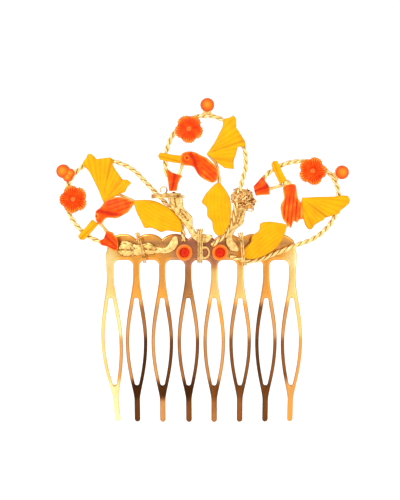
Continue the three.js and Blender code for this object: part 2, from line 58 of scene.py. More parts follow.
# ---- Camera ----------------------------------------------
# A long lens, square on to the face of the comb and level with the middle of the whole piece.
# The view is a little taller than the comb, which stands slightly left of its centre.
SENSOR = 36.0
LENS = 150.0
VIEW_TALL = 0.135
AIM_ASIDE = -0.0007
AIM_ABOVE = 0.0030
middle = (Vector(cad_box[0]) + Vector(cad_box[1])) / 2
eye = bpy.data.cameras.new("front_view")
eye.lens = LENS
eye.sensor_width = SENSOR
eye.clip_start = 0.01
camera = bpy.data.objects.new("front_view", eye)
camera.location = (middle.x + AIM_ASIDE, -VIEW_TALL * LENS / SENSOR, middle.z + AIM_ABOVE)
camera.rotation_euler = (np.pi / 2, 0, 0)
bpy.context.collection.objects.link(camera)
bpy.context.scene.camera = camera

# ---- The comb --------------------------------------------
# One bowed brass plate, cut with eight teeth that each open into a long eye, with a warm gold
# plating, polished. Its edges are rounded, its top is scalloped and its teeth curve backwards.
# The reflections in the polish, pale and dark, are painted into its colour, with painted shade
# on the rounded edges and a painted shadow under the scalloped crests.
MM = 0.001
TEETH = 8
PITCH = 7.03
THICKNESS = 1.0
EDGE_ROUND = 0.42
BAR_HEIGHT = 5.7
SCALLOP_RISE = 1.45
END_SHELF = (0.945, 2.7)
END_SIDE = (1.35, 0.5)
NECK_HALF = 0.875
NECK_FOOT = 4.3
ROOT_RADIUS = 1.6
TOOTH_HALF = 2.95
STRIP = 0.97
LEG_HALF = 0.775
LEG_FLARE = 0.3
NOSE = 0.62
NOSE_FLARES = (0.3, 0.5)
END_NECK_EXTRA = 0.15
EYE_TOP = 10.2
EYE_WIDEST = 22.1
EYE_FOOT = 34.0
LEG_TOP = 37.8
TIP = 44.1
SIDE_PULLS = (8.4, 14.7, 29.7, 34.6)
EYE_PULLS = (13.5, 17.6, 27.1, 31.1)
TIP_LEANS = (1.9, 0.2, 0.1, 0.2, 0.0, -0.1, -0.2, -0.4)
BOW_RADIUS = 120.0
TOOTH_CURVE = 160.0


def tint(red, green, blue):
    """A colour of three screen numbers from 0 to 255, made linear."""
    share = np.array([red, green, blue]) / 255
    low_part = share / 12.92
    high_part = ((share + 0.055) / 1.055) ** 2.4
    return (*np.where(share <= 0.04045, low_part, high_part), 1.0)


class Field:
    """A number that changes over a surface. Arithmetic on it adds Math nodes to its finish."""

    def __init__(self, finish, socket):
        self.finish = finish
        self.socket = socket

    def math(self, operation, *values):
        sockets = dict(enumerate(values))
        return self.finish.node("ShaderNodeMath", {"operation": operation}, sockets)

    def __add__(self, other):
        return self.math("ADD", self, other)

    def __sub__(self, other):
        return self.math("SUBTRACT", self, other)

    def __mul__(self, other):
        return self.math("MULTIPLY", self, other)

    def between(self, start, end):
        """0 up to start and 1 past end, eased in between."""
        settings = {"interpolation_type": "SMOOTHSTEP"}
        inputs = {"Value": self, "From Min": start, "From Max": end}
        return self.finish.node("ShaderNodeMapRange", settings, inputs)

    __radd__ = __add__


class Finish:
    """A metal or enamel: one shader, and the fields that vary its colour, gloss and grain."""

    def __init__(self, name, **constants):
        self.material = bpy.data.materials.new(name)
        self.material.use_nodes = True
        self.tree = self.material.node_tree
        self.shader = self.tree.nodes["Principled BSDF"]
        for key, value in constants.items():
            self.shader.inputs[key.replace("_", " ")].default_value = value

    def feed(self, target, value):
        if isinstance(value, Field):
            self.tree.links.new(value.socket, target)
        else:
            target.default_value = value

    def node(self, kind, settings=(), inputs=(), output=0):
        """Any node: its settings first, then the values or links of its sockets."""
        made = self.tree.nodes.new(kind)
        for key, value in dict(settings).items():
            setattr(made, key, value)
        for key, value in dict(inputs).items():
            self.feed(made.inputs[key], value)
        return Field(self, made.outputs[output])

    def place(self):
        """Object coordinates in millimetres."""
        coordinates = self.node("ShaderNodeTexCoord", output="Object")
        inputs = {"Vector": coordinates, "Scale": (1 / MM,) * 3}
        return self.node("ShaderNodeMapping", inputs=inputs)

    def mark(self, name):
        """A number kept on the surface's own points."""
        return self.node("ShaderNodeAttribute", {"attribute_name": name}, output="Fac")

    def noise(self, scale, detail=3.0, stretch=(1, 1, 1)):
        """Soft noise; scale is the number of its patches in a millimetre."""
        vector = self.node("ShaderNodeMapping", inputs={"Vector": self.place(), "Scale": stretch})
        inputs = {"Vector": vector, "Scale": scale, "Detail": detail}
        return self.node("ShaderNodeTexNoise", inputs=inputs)

    def ramp(self, share, *stops):
        """A colour for each share, blended between stops of a share and three screen numbers."""
        colors = self.node("ShaderNodeValToRGB", inputs={"Fac": share})
        elements = colors.socket.node.color_ramp.elements
        for stop in stops[1:-1]:
            elements.new(stop[0])
        for element, (place, *color) in zip(elements, stops):
            element.position = place
            element.color = tint(*color)
        return colors

    def mix(self, share, first, second):
        """The first colour where share is 0, the second where it is 1."""
        inputs = {0: share, 6: first, 7: second}
        return self.node("ShaderNodeMix", {"data_type": "RGBA"}, inputs, output=2)

    def grain(self, depth, strength, scale, detail=3.0, stretch=(1, 1, 1)):
        """Bumps of this depth in millimetres, that follow a noise of this scale."""
        height = self.noise(scale, detail, stretch)
        inputs = {"Height": height, "Distance": depth * MM, "Strength": strength}
        self.feed(self.shader.inputs["Normal"], self.node("ShaderNodeBump", inputs=inputs))

    def enamel(self, color, roughness):
        """Enamel on the front and bare cast gold on the back, with the change on the edge."""
        bare = self.mark("back")
        gold = self.ramp(self.noise(0.7), (0.3, 190, 136, 66), (0.7, 240, 196, 118))
        self.set(Base_Color=self.mix(bare, color, gold), Metallic=bare, Roughness=roughness)

    def gold(self, share, roughness, *stops):
        """Bare metal: its roughness, and its colour by a share."""
        self.set(Base_Color=self.ramp(share, *stops), Roughness=roughness)

    def set(self, **fields):
        for key, value in fields.items():
            self.feed(self.shader.inputs[key.replace("_", " ")], value)


def curve_points(corners, count):
    """Bezier curve of 2 to 4 corners: each weighted by its Bernstein polynomial of t."""
    t = np.linspace(0, 1, count)[:, None]
    weights = {
        2: (1 - t, t),
        3: ((1 - t) ** 2, 2 * t * (1 - t), t**2),
        4: ((1 - t) ** 3, 3 * t * (1 - t) ** 2, 3 * t**2 * (1 - t), t**3),
    }[len(corners)]
    return sum(weight * np.array(corner, float) for weight, corner in zip(weights, corners))


def surface(name, sheets, crease=None, closed=True):
    """One closed mesh from grids of points in millimetres, each with marks for its points.

    Neighbouring points of a grid make its faces; points that coincide are welded, which closes
    seams and poles, any slit that is left is filled, and all faces are then turned outwards."""
    starts = np.cumsum([0] + [grid.shape[0] * grid.shape[1] for grid, _ in sheets])
    points = np.concatenate([grid.reshape(-1, 3) for grid, _ in sheets]) * MM
    quads = []
    for (grid, _), start in zip(sheets, starts):
        number = start + np.arange(grid.shape[0] * grid.shape[1]).reshape(grid.shape[:2])
        corners = (number[:-1, :-1], number[1:, :-1], number[1:, 1:], number[:-1, 1:])
        quads.append(np.stack(corners, -1).reshape(-1, 4))
    mesh = bpy.data.meshes.new(name)
    mesh.from_pydata(points, [], np.concatenate(quads))
    for key in sheets[0][1]:
        values = np.concatenate([np.asarray(marks[key], float).ravel() for _, marks in sheets])
        mesh.attributes.new(key, "FLOAT", "POINT").data.foreach_set("value", values)
    work = bmesh.new()
    work.from_mesh(mesh)
    bmesh.ops.remove_doubles(work, verts=work.verts, dist=0.001 * MM)
    if closed:
        bmesh.ops.holes_fill(work, edges=[edge for edge in work.edges if edge.is_boundary], sides=0)
    bmesh.ops.recalc_face_normals(work, faces=work.faces)
    work.to_mesh(mesh)
    work.free()
    mesh.shade_smooth()
    if crease:
        mesh.set_sharp_from_angle(angle=np.radians(crease))
    piece = bpy.data.objects.new(name, mesh)
    bpy.context.collection.objects.link(piece)
    return piece


def fit(piece, finish, slot, *nodes):
    """Gives a piece its finish, and its place on the comb in the stead of the frame's nodes."""
    piece.data.materials.append(finish.material)
    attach(piece, "root")
    if nodes:
        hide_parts(*nodes)


def bunched(start, end, count):
    """Numbers from start to end that crowd towards both: by half a cosine wave."""
    return start + (end - start) * (1 - np.cos(np.linspace(0, np.pi, count))) / 2


# How far each edge of half a tooth stands from the tooth's middle line, at every height. The
# pulls are the heights of the Bezier curves' inner corners.
def widening(neck):
    """A tooth's edge from its neck out to its widest place."""
    pulls = [(NECK_HALF, -SIDE_PULLS[0]), (TOOTH_HALF, -SIDE_PULLS[1])]
    return curve_points([(neck, -NECK_FOOT), *pulls, (TOOTH_HALF, -EYE_WIDEST)], 60)


low_pulls = [(TOOTH_HALF, -SIDE_PULLS[2]), (LEG_HALF + LEG_FLARE, -SIDE_PULLS[3])]
low_curve = curve_points([(TOOTH_HALF, -EYE_WIDEST), *low_pulls, (LEG_HALF, -LEG_TOP)], 60)
tip_turn = np.radians(np.linspace(0, 82, 9))
tip_rows = np.stack([LEG_HALF * np.cos(tip_turn), LEG_HALF - TIP - LEG_HALF * np.sin(tip_turn)], 1)
neck_top = [(NECK_HALF, -ROOT_RADIUS)]
inner_edge = np.concatenate([neck_top, widening(NECK_HALF), low_curve[1:], tip_rows])
end_edge = np.concatenate(
    [
        curve_points([(0, BAR_HEIGHT), (END_SHELF[0], BAR_HEIGHT - 0.5), END_SHELF], 20),
        curve_points([END_SHELF, (END_SIDE[0], END_SHELF[1]), END_SIDE], 20),
        widening(NECK_HALF + END_NECK_EXTRA),
        low_curve[1:],
        tip_rows,
    ]
)
nose_turn = np.radians(np.linspace(0, 90, 7))
eye_half = TOOTH_HALF - STRIP
eye_middle = (eye_half, -EYE_WIDEST)
top_pulls = [(NOSE + NOSE_FLARES[0], -EYE_PULLS[0]), (eye_half, -EYE_PULLS[1])]
foot_pulls = [(eye_half, -EYE_PULLS[2]), (NOSE + NOSE_FLARES[1], -EYE_PULLS[3])]
eye_edge = np.concatenate(
    [
        np.stack([NOSE * np.sin(nose_turn), -EYE_TOP - NOSE * (1 - np.cos(nose_turn))], 1),
        curve_points([(NOSE, -EYE_TOP - NOSE), *top_pulls, eye_middle], 40),
        curve_points([eye_middle, *foot_pulls, (NOSE, NOSE - EYE_FOOT)], 40),
        np.stack([NOSE * np.cos(nose_turn), NOSE - EYE_FOOT - NOSE * np.sin(nose_turn)], 1),
    ]
)
tooth_heights = np.concatenate(
    [
        np.linspace(-ROOT_RADIUS, -EYE_TOP, 22)[:-1],
        eye_edge[:7, 1],
        np.linspace(-EYE_TOP - NOSE, NOSE - EYE_FOOT, 60)[1:-1],
        eye_edge[-7:, 1],
        np.linspace(-EYE_FOOT, LEG_HALF - TIP, 20)[1:-1],
        tip_rows[:, 1],
    ]
)
ACROSS = bunched(0, 1, 11)
UP = bunched(0, 1, 19)


def width_at(edge, heights):
    """The edge's distance from the middle line, read off its points at each height."""
    return np.interp(-heights, -edge[:, 1], edge[:, 0])


def half_cell(is_end):
    """Half a tooth and its stretch of bar, as grids of (aside, height), and the outline's points.

    A tooth row runs from the eye's edge to the outer edge. A bar column runs from the arch
    between two teeth, a quarter circle and a flat, up to the scallop, a shallow circle."""
    outer = end_edge if is_end else inner_edge
    inside = np.interp(-tooth_heights, -eye_edge[:, 1], eye_edge[:, 0], left=0, right=0)
    outside = width_at(outer, tooth_heights)
    aside = inside[:, None] + (outside - inside)[:, None] * ACROSS
    tooth = np.stack(np.broadcast_arrays(aside, tooth_heights[:, None]), -1)
    eye_rows = (tooth_heights < -EYE_TOP + 1e-6) & (tooth_heights > -EYE_FOOT - 1e-6)
    edges = [tooth[:, -1], tooth[eye_rows, 0], tooth[-1]]
    if is_end:
        heights = -ROOT_RADIUS + (BAR_HEIGHT + ROOT_RADIUS) * UP
        reach = width_at(outer, heights)
        aside = ACROSS[:, None] * reach
        bar = np.stack(np.broadcast_arrays(aside, heights), -1)
        edges += [bar[-1]]
    else:
        turn = np.linspace(np.pi, np.pi / 2, 9)[1:]
        arch = NECK_HALF + ROOT_RADIUS + ROOT_RADIUS * np.cos(turn)
        flat = np.linspace(arch[-1], PITCH / 2, 5)[1:]
        aside = np.concatenate([NECK_HALF * ACROSS, arch, flat])
        low = np.concatenate([0 * ACROSS - ROOT_RADIUS, ROOT_RADIUS * (np.sin(turn) - 1), 0 * flat])
        radius = ((PITCH / 2) ** 2 + SCALLOP_RISE**2) / (2 * SCALLOP_RISE)
        top = BAR_HEIGHT + SCALLOP_RISE - radius + np.sqrt(radius**2 - (PITCH / 2 - aside) ** 2)
        heights = low[:, None] + (top - low)[:, None] * UP
        bar = np.stack(np.broadcast_arrays(aside[:, None], heights), -1)
        edges += [bar[:, -1], bar[len(ACROSS) - 1 :, 0]]
    return (tooth, bar), edges


def rounded(grid, edges):
    """Half the plate's thickness: a quarter circle that rises from the nearest edge point."""
    steps = np.linspace(0, 1, 5)[:, None]
    finer = [edge[:-1, None] + (edge[1:] - edge[:-1])[:, None] * steps for edge in edges]
    rim = np.concatenate([part.reshape(-1, 2) for part in finer])
    near = np.sqrt(((grid.reshape(-1, 1, 2) - rim) ** 2).sum(-1)).min(1).reshape(grid.shape[:2])
    share = np.clip(near / EDGE_ROUND, 0, 1)
    return THICKNESS / 2 * np.sqrt(1 - (1 - share) ** 2)


def eased(value, start, end):
    """0 up to start and 1 past end, by 3s^2 - 2s^3 in between."""
    share = np.clip((value - start) / (end - start), 0, 1)
    return share**2 * (3 - 2 * share)


def bell(value, width):
    """1 where the value is 0, falling away on both sides by exp(-(value / width)^2)."""
    return np.exp(-((value / width) ** 2))


def blend(first, second, share):
    """The first value where share is 0, the second where it is 1."""
    return first + (second - first) * share


# Painted reflections: how bright the polished gold is painted, 0 to 1, tooth by tooth: at the
# neck, on the left and right strips above and below the height where the painted reflection of
# dark surroundings starts, where the strips meet, and on the leg.
NECK_REFLECTION = (0.86, 0.60, 0.60, 0.34, 0.80, 0.78, 0.60, 0.82)
UPPER_REFLECTION = (
    (0.84, 0.90), (0.50, 0.30), (0.46, 0.32), (0.42, 0.44), (0.50, 0.64), (0.40, 0.56),
    (0.20, 0.50), (0.44, 0.80),
)
LOWER_REFLECTION = (
    (0.84, 0.54), (0.46, 0.06), (0.50, 0.12), (0.32, 0.18), (0.40, 0.50), (0.20, 0.26),
    (0.12, 0.24), (0.24, 0.56),
)
FORK_REFLECTION = (0.94, 0.0, 0.05, 0.0, 0.17, 0.15, 0.12, 0.56)
LEG_REFLECTION = (0.97, 0.12, 0.48, 0.20, 0.32, 0.23, 0.16, 0.60)
DARK_REFLECTION_AT = -20.8


def painted_reflection(index, side, x, z):
    """The painted reflection in the tooth, blended from its leg through its strips to its neck, and
    in the bar: pale at the low ends, dull behind the middle, with a painted highlight on the
    scalloped crests and a painted shadow under them."""
    upper = UPPER_REFLECTION[index][side > 0]
    lower = LOWER_REFLECTION[index][side > 0]
    strip = blend(lower, upper, eased(z, DARK_REFLECTION_AT - 1.5, DARK_REFLECTION_AT + 1.2))
    leg = blend(LEG_REFLECTION[index], FORK_REFLECTION[index], eased(z, -EYE_FOOT - 5, -EYE_FOOT - 2.6))
    tooth = blend(leg, strip, eased(z, -EYE_FOOT - 0.4, -EYE_FOOT + 3))
    tooth = blend(tooth, NECK_REFLECTION[index], eased(z, -EYE_TOP - 3, -EYE_TOP))
    bar = 0.62 - 0.06 * eased(z, 0.6, 2.4) + 0.3 * eased(np.abs(x), 21, 25) * eased(-z, -4.6, -2.4)
    bar = bar - 0.16 * eased(-np.abs(x), -11, -3) + 0.12 * eased(z, 5.3, 6.3)
    bar = bar - 0.2 * bell(z - 4.5, 0.55) * eased(-np.abs(x), -26, -22)
    return np.clip(blend(tooth, bar, eased(z, -3.2, -0.2)), 0, 1)


def painted_plum_reflection(x, z):
    """How much of the painted reflection of mauve surroundings shows: most behind the middle of the
    bar.
    """
    return 0.75 * eased(-np.abs(x + 1), -9, -4) * eased(z, -4, -0.5)


comb_sheets = []
for index in range(TEETH):
    for side in (-1, 1):
        grids, edges = half_cell((index, side) in ((0, -1), (TEETH - 1, 1)))
        for grid in grids:
            across = side * grid[..., 0]
            z = grid[..., 1]
            below = np.clip(-z - NECK_FOOT, 0, None)
            x = (index - (TEETH - 1) / 2) * PITCH + across
            y = x**2 / (2 * BOW_RADIUS) + below**2 / (2 * TOOTH_CURVE)
            leaned = x + TIP_LEANS[index] * (below / (TIP - NECK_FOOT)) ** 2
            half = rounded(grid, edges)
            # Painted shade: the rounded edges of the strips are painted darker.
            edge_shade = 0.34 * (1 - 2 * half / THICKNESS) ** 1.5
            marks = {"painted_reflection": painted_reflection(index, side, x, z) - edge_shade, "painted_plum_reflection": painted_plum_reflection(x, z)}
            comb_sheets += [(np.stack([leaned, y + face * half, z], -1), marks) for face in (-1, 1)]
comb = surface("gold_comb", comb_sheets)

comb_gold = Finish("polished_comb_gold", Metallic=1.0)
streak = comb_gold.noise(0.5, stretch=(1.6, 1, 0.35))
patch = comb_gold.noise(0.16, 2)
# The painted reflections and shade, with streaks and patches of noise.
shown = comb_gold.mark("painted_reflection") + (streak - 0.5) * 0.16 + (patch - 0.5) * 0.12
painted_reflection_color = comb_gold.ramp(
    shown,
    (0.0, 64, 34, 12), (0.12, 98, 56, 24), (0.26, 146, 86, 40), (0.4, 190, 130, 74),
    (0.52, 214, 152, 86), (0.62, 238, 158, 64), (0.74, 243, 184, 96), (0.86, 248, 210, 132),
    (1.0, 254, 234, 176),
)
comb_gold.set(
    # Painted reflection: the mauve surroundings, mixed in behind the middle of the bar.
    Base_Color=comb_gold.mix(comb_gold.mark("painted_plum_reflection"), painted_reflection_color, tint(176, 110, 84)),
    Roughness=0.16 + comb_gold.noise(1.4) * 0.14,
)
comb_gold.grain(0.05, 0.5, 0.7, stretch=(1, 1, 0.5))
fit(comb, comb_gold, "comb_gold", "comb_plate")

# ---- The ropes -------------------------------------------
# Each medallion's frame is two gold strands twisted together, bent into an oval that runs on
# down beside the tail to the end ring. The hollows between the strands are painted darker as
# shade.
SIDES = ("left", "centre", "right")
TIP_CUP_UP = 39.65
BUTTON_SPOT = (-4.7, 33.0, 2.46)
STRAND_OFFSET = 0.27
STRAND_RADIUS = 0.42
TWIST_PITCH = 4.1
OVAL = (10.8, 12.4, 24.4)
OVAL_ENDS = (200, -22)
ROPE_FOOT = ((9.1, 15.5), (8.3, 12), (7.7, 8.8), (6.3, 5.4), (4, 3.2), (2.3, 1.9))


def box_middle(node):
    """The middle of a node's box, in millimetres."""
    low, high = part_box(node)
    return np.array((low + high) / 2) / MM


def face_axes(side):
    """A medallion's own origin and axes: right, up to the tip cup, and out of its face.

    Up is the line from the end ring to the tip cup. The button's offset from that line has a
    known part along right and a known part along out, which settles both."""
    origin = box_middle("centre_end_ring" if side == "centre" else f"{side}_end_stone")
    up = box_middle(f"{side}_tip_cup") - origin
    up = up / np.linalg.norm(up)
    offset = box_middle(f"{side}_daisy_button") - origin - BUTTON_SPOT[1] * up
    offset = offset - offset.dot(up) * up
    square = np.cross(up, offset)
    right = BUTTON_SPOT[0] * offset + BUTTON_SPOT[2] * square
    right = right / np.linalg.norm(right)
    return origin, right, up, np.cross(right, up)


axes = {side: face_axes(side) for side in SIDES}


def on_face(side, points):
    """Points given as right, up and out of a medallion's face, in the comb's own frame."""
    origin, *directions = axes[side]
    return origin + points @ np.array(directions)


def mount(side, name, sheets, finish, slot, node=None, crease=None):
    """One finished piece of a medallion, from sheets laid out on the medallion's face."""
    sheets = [(on_face(side, grid), marks) for grid, marks in sheets]
    nodes = [f"{side}_{node}"] if node else []
    fit(surface(f"{side}_{name}", sheets, crease), finish, slot, *nodes)


def spline(points, steps, closed=False):
    """Centripetal Catmull-Rom curve: through every point, its knots spaced by root distance."""
    p = np.array(points, float)
    ends = (p[-1:], p[:2]) if closed else (2 * p[:1] - p[1:2], 2 * p[-1:] - p[-2:-1])
    run = np.vstack([ends[0], p, ends[1]])
    a, b, c, d = run[:-3, None], run[1:-2, None], run[2:-1, None], run[3:, None]
    gaps = [np.linalg.norm(v - u, axis=-1, keepdims=True) for u, v in ((a, b), (b, c), (c, d))]
    spaces = np.sqrt(gaps)
    t1, t2, t3 = spaces[0], spaces[0] + spaces[1], sum(spaces)
    t = t1 + (t2 - t1) * np.linspace(0, 1, steps, endpoint=False)[:, None]
    first = ((t1 - t) * a + t * b) / t1
    second = ((t2 - t) * b + (t - t1) * c) / (t2 - t1)
    third = ((t3 - t) * c + (t - t2) * d) / (t3 - t2)
    left = ((t2 - t) * first + t * second) / t2
    right = ((t3 - t) * second + (t - t1) * third) / (t3 - t1)
    curve = (((t2 - t) * left + (t - t1) * right) / (t2 - t1)).reshape(-1, p.shape[1])
    return curve if closed else np.vstack([curve, p[-1:]])


def even(path, count):
    """The same line with its points spaced evenly along its length."""
    length = np.concatenate([[0], np.cumsum(np.linalg.norm(np.diff(path, axis=0), axis=1))])
    spots = np.linspace(0, length[-1], count)
    return np.stack([np.interp(spots, length, column) for column in path.T], 1), length[-1]


def unit(vectors):
    """The vectors, each made one long."""
    return vectors / np.linalg.norm(vectors, axis=-1, keepdims=True)


def swept(path, radius, toward, around=10, squash=1.0):
    """A round bar: at each point of the path, a circle square to it, closed at both ends.

    The circle's axes are `toward`, less its part along the path, and the cross product of the
    two. The ends close in to the path's first and last points."""
    along = unit(np.gradient(path, axis=0))
    out = unit(toward - (toward * along).sum(-1, keepdims=True) * along)
    aside = np.cross(along, out)
    turn = np.linspace(0, 2 * np.pi, around + 1)[:, None]
    ring = aside[:, None] * np.cos(turn) + out[:, None] * np.sin(turn) * squash
    body = path[:, None] + radius * ring
    ends = [np.broadcast_to(path[i], (1, around + 1, 3)) for i in (0, -1)]
    return np.concatenate([ends[0], body, ends[1]])


oval_turn = np.radians(np.linspace(*OVAL_ENDS, 17))
oval = np.stack([OVAL[0] * np.cos(oval_turn), OVAL[2] + OVAL[1] * np.sin(oval_turn)], 1)
rope_line, rope_length = even(spline([*oval, *ROPE_FOOT], 12), 380)
rope_line = np.column_stack([rope_line, 0 * rope_line[:, 0]])
rope_along = unit(np.gradient(rope_line, axis=0))
rope_out = np.array([0.0, 0.0, 1.0])
rope_aside = np.cross(rope_along, rope_out)
rope_turn = np.linspace(0, 2 * np.pi * rope_length / TWIST_PITCH, len(rope_line))[:, None]

shaded_gold = Finish("twisted_rope_gold", Metallic=1.0)
# Painted shade: darker where the surface lies near the rope's middle line, in the hollows between
# the strands, and towards the back of the struts, with random mottling on top.
painted_light = shaded_gold.mark("painted_light")
shade_and_mottling = painted_light + (shaded_gold.noise(0.9) - 0.5) * 0.7
shaded_gold.gold(
    shade_and_mottling,
    0.24 + shaded_gold.noise(2.5) * 0.2,
    (0.0, 92, 56, 20), (0.22, 154, 106, 46), (0.45, 206, 158, 80), (0.72, 236, 192, 108),
    (1.0, 252, 218, 148),
)
shaded_gold.grain(0.06, 0.6, 3.5)

for number, side in enumerate(SIDES):
    rope_sheets = []
    for strand in (0, np.pi):
        angle = rope_turn + strand + number
        lift = np.cos(angle) * rope_aside + np.sin(angle) * rope_out
        grid = swept(rope_line + STRAND_OFFSET * lift, STRAND_RADIUS, lift, 10)
        # The painted shade follows how far each point stands from the rope's middle line.
        axis = np.concatenate([rope_line[:1], rope_line, rope_line[-1:]])[:, None]
        away = np.linalg.norm(grid - axis, axis=-1)
        rope_sheets.append((grid, {"painted_light": eased(away, 0.22, 0.66)}))
    mount(side, "twisted_rope", rope_sheets, shaded_gold, "cast_gold", "rope_frame")

# ---- The struts ------------------------------------------
# Two plain gold bars in each medallion: one holds the bird's head to the tulip's tip, the
# other runs round the back of the bird's body to the root of its tail. Cast with the frame.
BAR_RADIUS = 0.46
HEAD_STRUT = ((-6, 24.2), (-6.5, 22.2), (-7.2, 20.2))
BACK_STRIP = ((0.6, 26.6), (2.9, 23.9), (3.7, 20.6), (3.9, 17.6))
LINK_LIFT = 0.2
for side in SIDES:
    for node, spots in (("head_strut", HEAD_STRUT), ("back_strip", BACK_STRIP)):
        line, _ = even(spline(spots, 14), 40)
        line = np.column_stack([line, np.full(len(line), LINK_LIFT)])
        beat = BAR_RADIUS * (1 + 0.12 * np.sin(np.linspace(0, 9, len(line))))[:, None, None]
        grid = swept(line, beat, rope_out, 12)
        # Painted shade: the bar is painted darker towards its back and lighter towards its front.
        marks = {"painted_light": 0.45 + 0.35 * np.clip(grid[..., 2] / BAR_RADIUS, -1, 1)}
        mount(side, f"{node}_bar", [(grid, marks)], shaded_gold, "cast_gold", node)

# ---- The leaf branches -----------------------------------
# A cast gold branch climbs each medallion from its end ring to the tulip, with two veined
# oval leaves on it. Its surface is grainy and pitted, with brown left in the pits. Its veins and
# grooves are painted darker as shade, its lumps lighter, and its edge darker as painted shade.
BRANCH = (
    (-9.5, 15.8), (-9.9, 14.4), (-8.8, 11.6), (-7.5, 9.9), (-5.6, 8), (-4, 5.6), (-2.7, 3.6),
    (-1.1, 2.6), (1.1, 2.6), (2.6, 4.1), (2.4, 4.9), (-1.6, 4.9), (-2.9, 7), (-3, 9.5),
    (-5.5, 11.9), (-5.8, 14.2), (-6.4, 15.8),
)
BRANCH_LINE = (
    (-8, 15.2), (-7.6, 12.6), (-5.4, 9.9), (-3.7, 7.4), (-2.2, 4.4), (0, 3.7), (1.9, 4.4),
)
LEAVES = {
    "left": ((-8.2, 13.6, 2.7, 1.8, 122), (-4.7, 8.5, 2.4, 1.45, 122)),
    "centre": ((-7.9, 13.8, 2.3, 1.3, 100), (-5.3, 9.8, 2.1, 0.95, 130)),
    "right": ((-7.8, 13.6, 2.4, 1.5, 110), (-4.8, 9.6, 2.3, 1.15, 125)),
}
BRANCH_DEPTHS = (-0.6, 0.25, 0.6)
LEAF_BASE = 0.35


def outline_of(corners, count, soften=0.0, curved=False):
    """A closed outline as evenly spaced points, its corners softened over a short length.

    The softening is a circular convolution with a normal curve `soften` wide."""
    ring = spline(corners, 12, closed=True) if curved else np.array(corners, float)
    points, length = even(np.vstack([ring, ring[:1]]), count + 1)
    points = points[:-1]
    if soften:
        away = np.minimum(np.arange(count), count - np.arange(count)) * length / count
        weights = np.exp(-0.5 * (away / soften) ** 2)
        spectrum = np.fft.fft(weights / weights.sum())[:, None]
        points = np.real(np.fft.ifft(np.fft.fft(points, axis=0) * spectrum, axis=0))
    return points


def pillow(outline, line, depths, rings=16, relief=None, fullness=2.4):
    """A cast piece with a flat back, an upright edge and a domed front, and its marks.

    Rings of points close in from the outline to the nearest points of a middle line. With s
    the share from line to outline, the front rises by the root of 1 - s^fullness."""
    back, edge, crown = depths
    middle_line, _ = even(np.array(line, float), 80)
    nearest = ((outline[:, None] - middle_line) ** 2).sum(-1).argmin(1)
    foot = middle_line[nearest]
    share = np.sin(np.linspace(0, np.pi / 2, rings))[:, None]
    ring = np.concatenate([outline, outline[:1]])
    foot = np.concatenate([foot, foot[:1]])
    plan = foot + (ring - foot) * share[..., None]
    dome = np.sqrt(np.clip(1 - share**fullness, 0, 1)) * np.ones(len(ring))
    carve = relief(plan[..., 0], plan[..., 1]) if relief else 0 * dome
    inward = eased(1 - share, 0.0, 0.25) * np.ones(len(ring))
    front = np.concatenate([plan, (edge + (crown - edge) * dome + carve * inward)[..., None]], -1)
    wall = np.stack([np.column_stack([ring, np.full(len(ring), depth)]) for depth in (edge, back)])
    floor = np.stack([np.column_stack([part, np.full(len(ring), back)]) for part in (ring, foot)])
    flat = np.zeros((2, len(ring)))
    return [
        (front, {"rim": share * np.ones(len(ring)), "cut": carve, "back": 0 * dome}),
        (wall, {"rim": flat + 1, "cut": flat, "back": flat + np.array([[0], [1]])}),
        (floor, {"rim": flat + 1, "cut": flat, "back": flat + 1}),
    ]


def leaf(u, v, length, width, lean, base):
    """An almond: half a superellipse dome over an oval, with a sunk midrib and slanting veins."""
    turn = np.linspace(0, 2 * np.pi, 61)
    share = np.sin(np.linspace(0, np.pi / 2, 12))[:, None]
    along = share * np.cos(turn) * length
    aside = share * np.sin(turn) * width * (1 - 0.25 * np.cos(turn) ** 4)
    veins = 0.09 * np.abs(np.sin(2.3 * (along - 1.3 * np.abs(aside))))
    midrib = 0.2 * bell(aside, 0.22) * (1 - share**4)
    rise = 0.62 * np.sqrt(1 - share**2.5) - midrib - veins * (1 - share**6)
    cosine = np.cos(np.radians(lean))
    sine = np.sin(np.radians(lean))
    front = [u + along * cosine - aside * sine, v + along * sine + aside * cosine]
    dome = np.stack([*front, base + rise], -1)
    under = np.stack([front[0][[0, -1]], front[1][[0, -1]], np.full((2, 61), base)], -1)
    cut = -veins - 0.2 * bell(aside, 0.25)
    marks = {"rim": share * np.ones(61), "cut": cut, "back": 0 * veins}
    none = np.zeros((2, 61))
    return [(dome, marks), (under, {"rim": none + 1, "cut": none, "back": none})]


def branch_lumps(u, v):
    """Low lumps in rows that cross: the product of two sines."""
    return 0.1 * np.sin(3.1 * u + 1.3 * v) * np.sin(2.7 * v - 0.8 * u)


pitted_gold = Finish("pitted_branch_gold", Metallic=1.0)
pits = pitted_gold.noise(2.4, 4)
# Painted shade: the front is painted darker near its edge.
outer = pitted_gold.mark("rim").between(0.8, 0.98) * (pitted_gold.mark("back") - 1) * 0.24
clouds = (pitted_gold.noise(0.5) - 0.5) * 0.35
# Brown in the pits, painted shade in the grooves and painted light on the lumps, and noise.
pits_and_shade = (pits - 0.5) * 0.66 + pitted_gold.mark("cut") * 1.1 + clouds + outer + 0.55
pitted_gold.gold(
    pits_and_shade,
    0.3 + pits * 0.25,
    (0.16, 104, 60, 24), (0.32, 180, 126, 60), (0.42, 226, 180, 100), (0.56, 246, 206, 128),
    (0.8, 255, 230, 172),
)
pitted_gold.grain(0.16, 0.6, 1.5, 3)
branch_outline = outline_of(BRANCH, 260, 0.25)
for side in SIDES:
    sheets = pillow(branch_outline, BRANCH_LINE, BRANCH_DEPTHS, relief=branch_lumps)
    for leaf_place in LEAVES[side]:
        sheets += leaf(*leaf_place, LEAF_BASE)
    mount(side, "cast_branch", sheets, pitted_gold, "cast_gold", "leaf_branch")
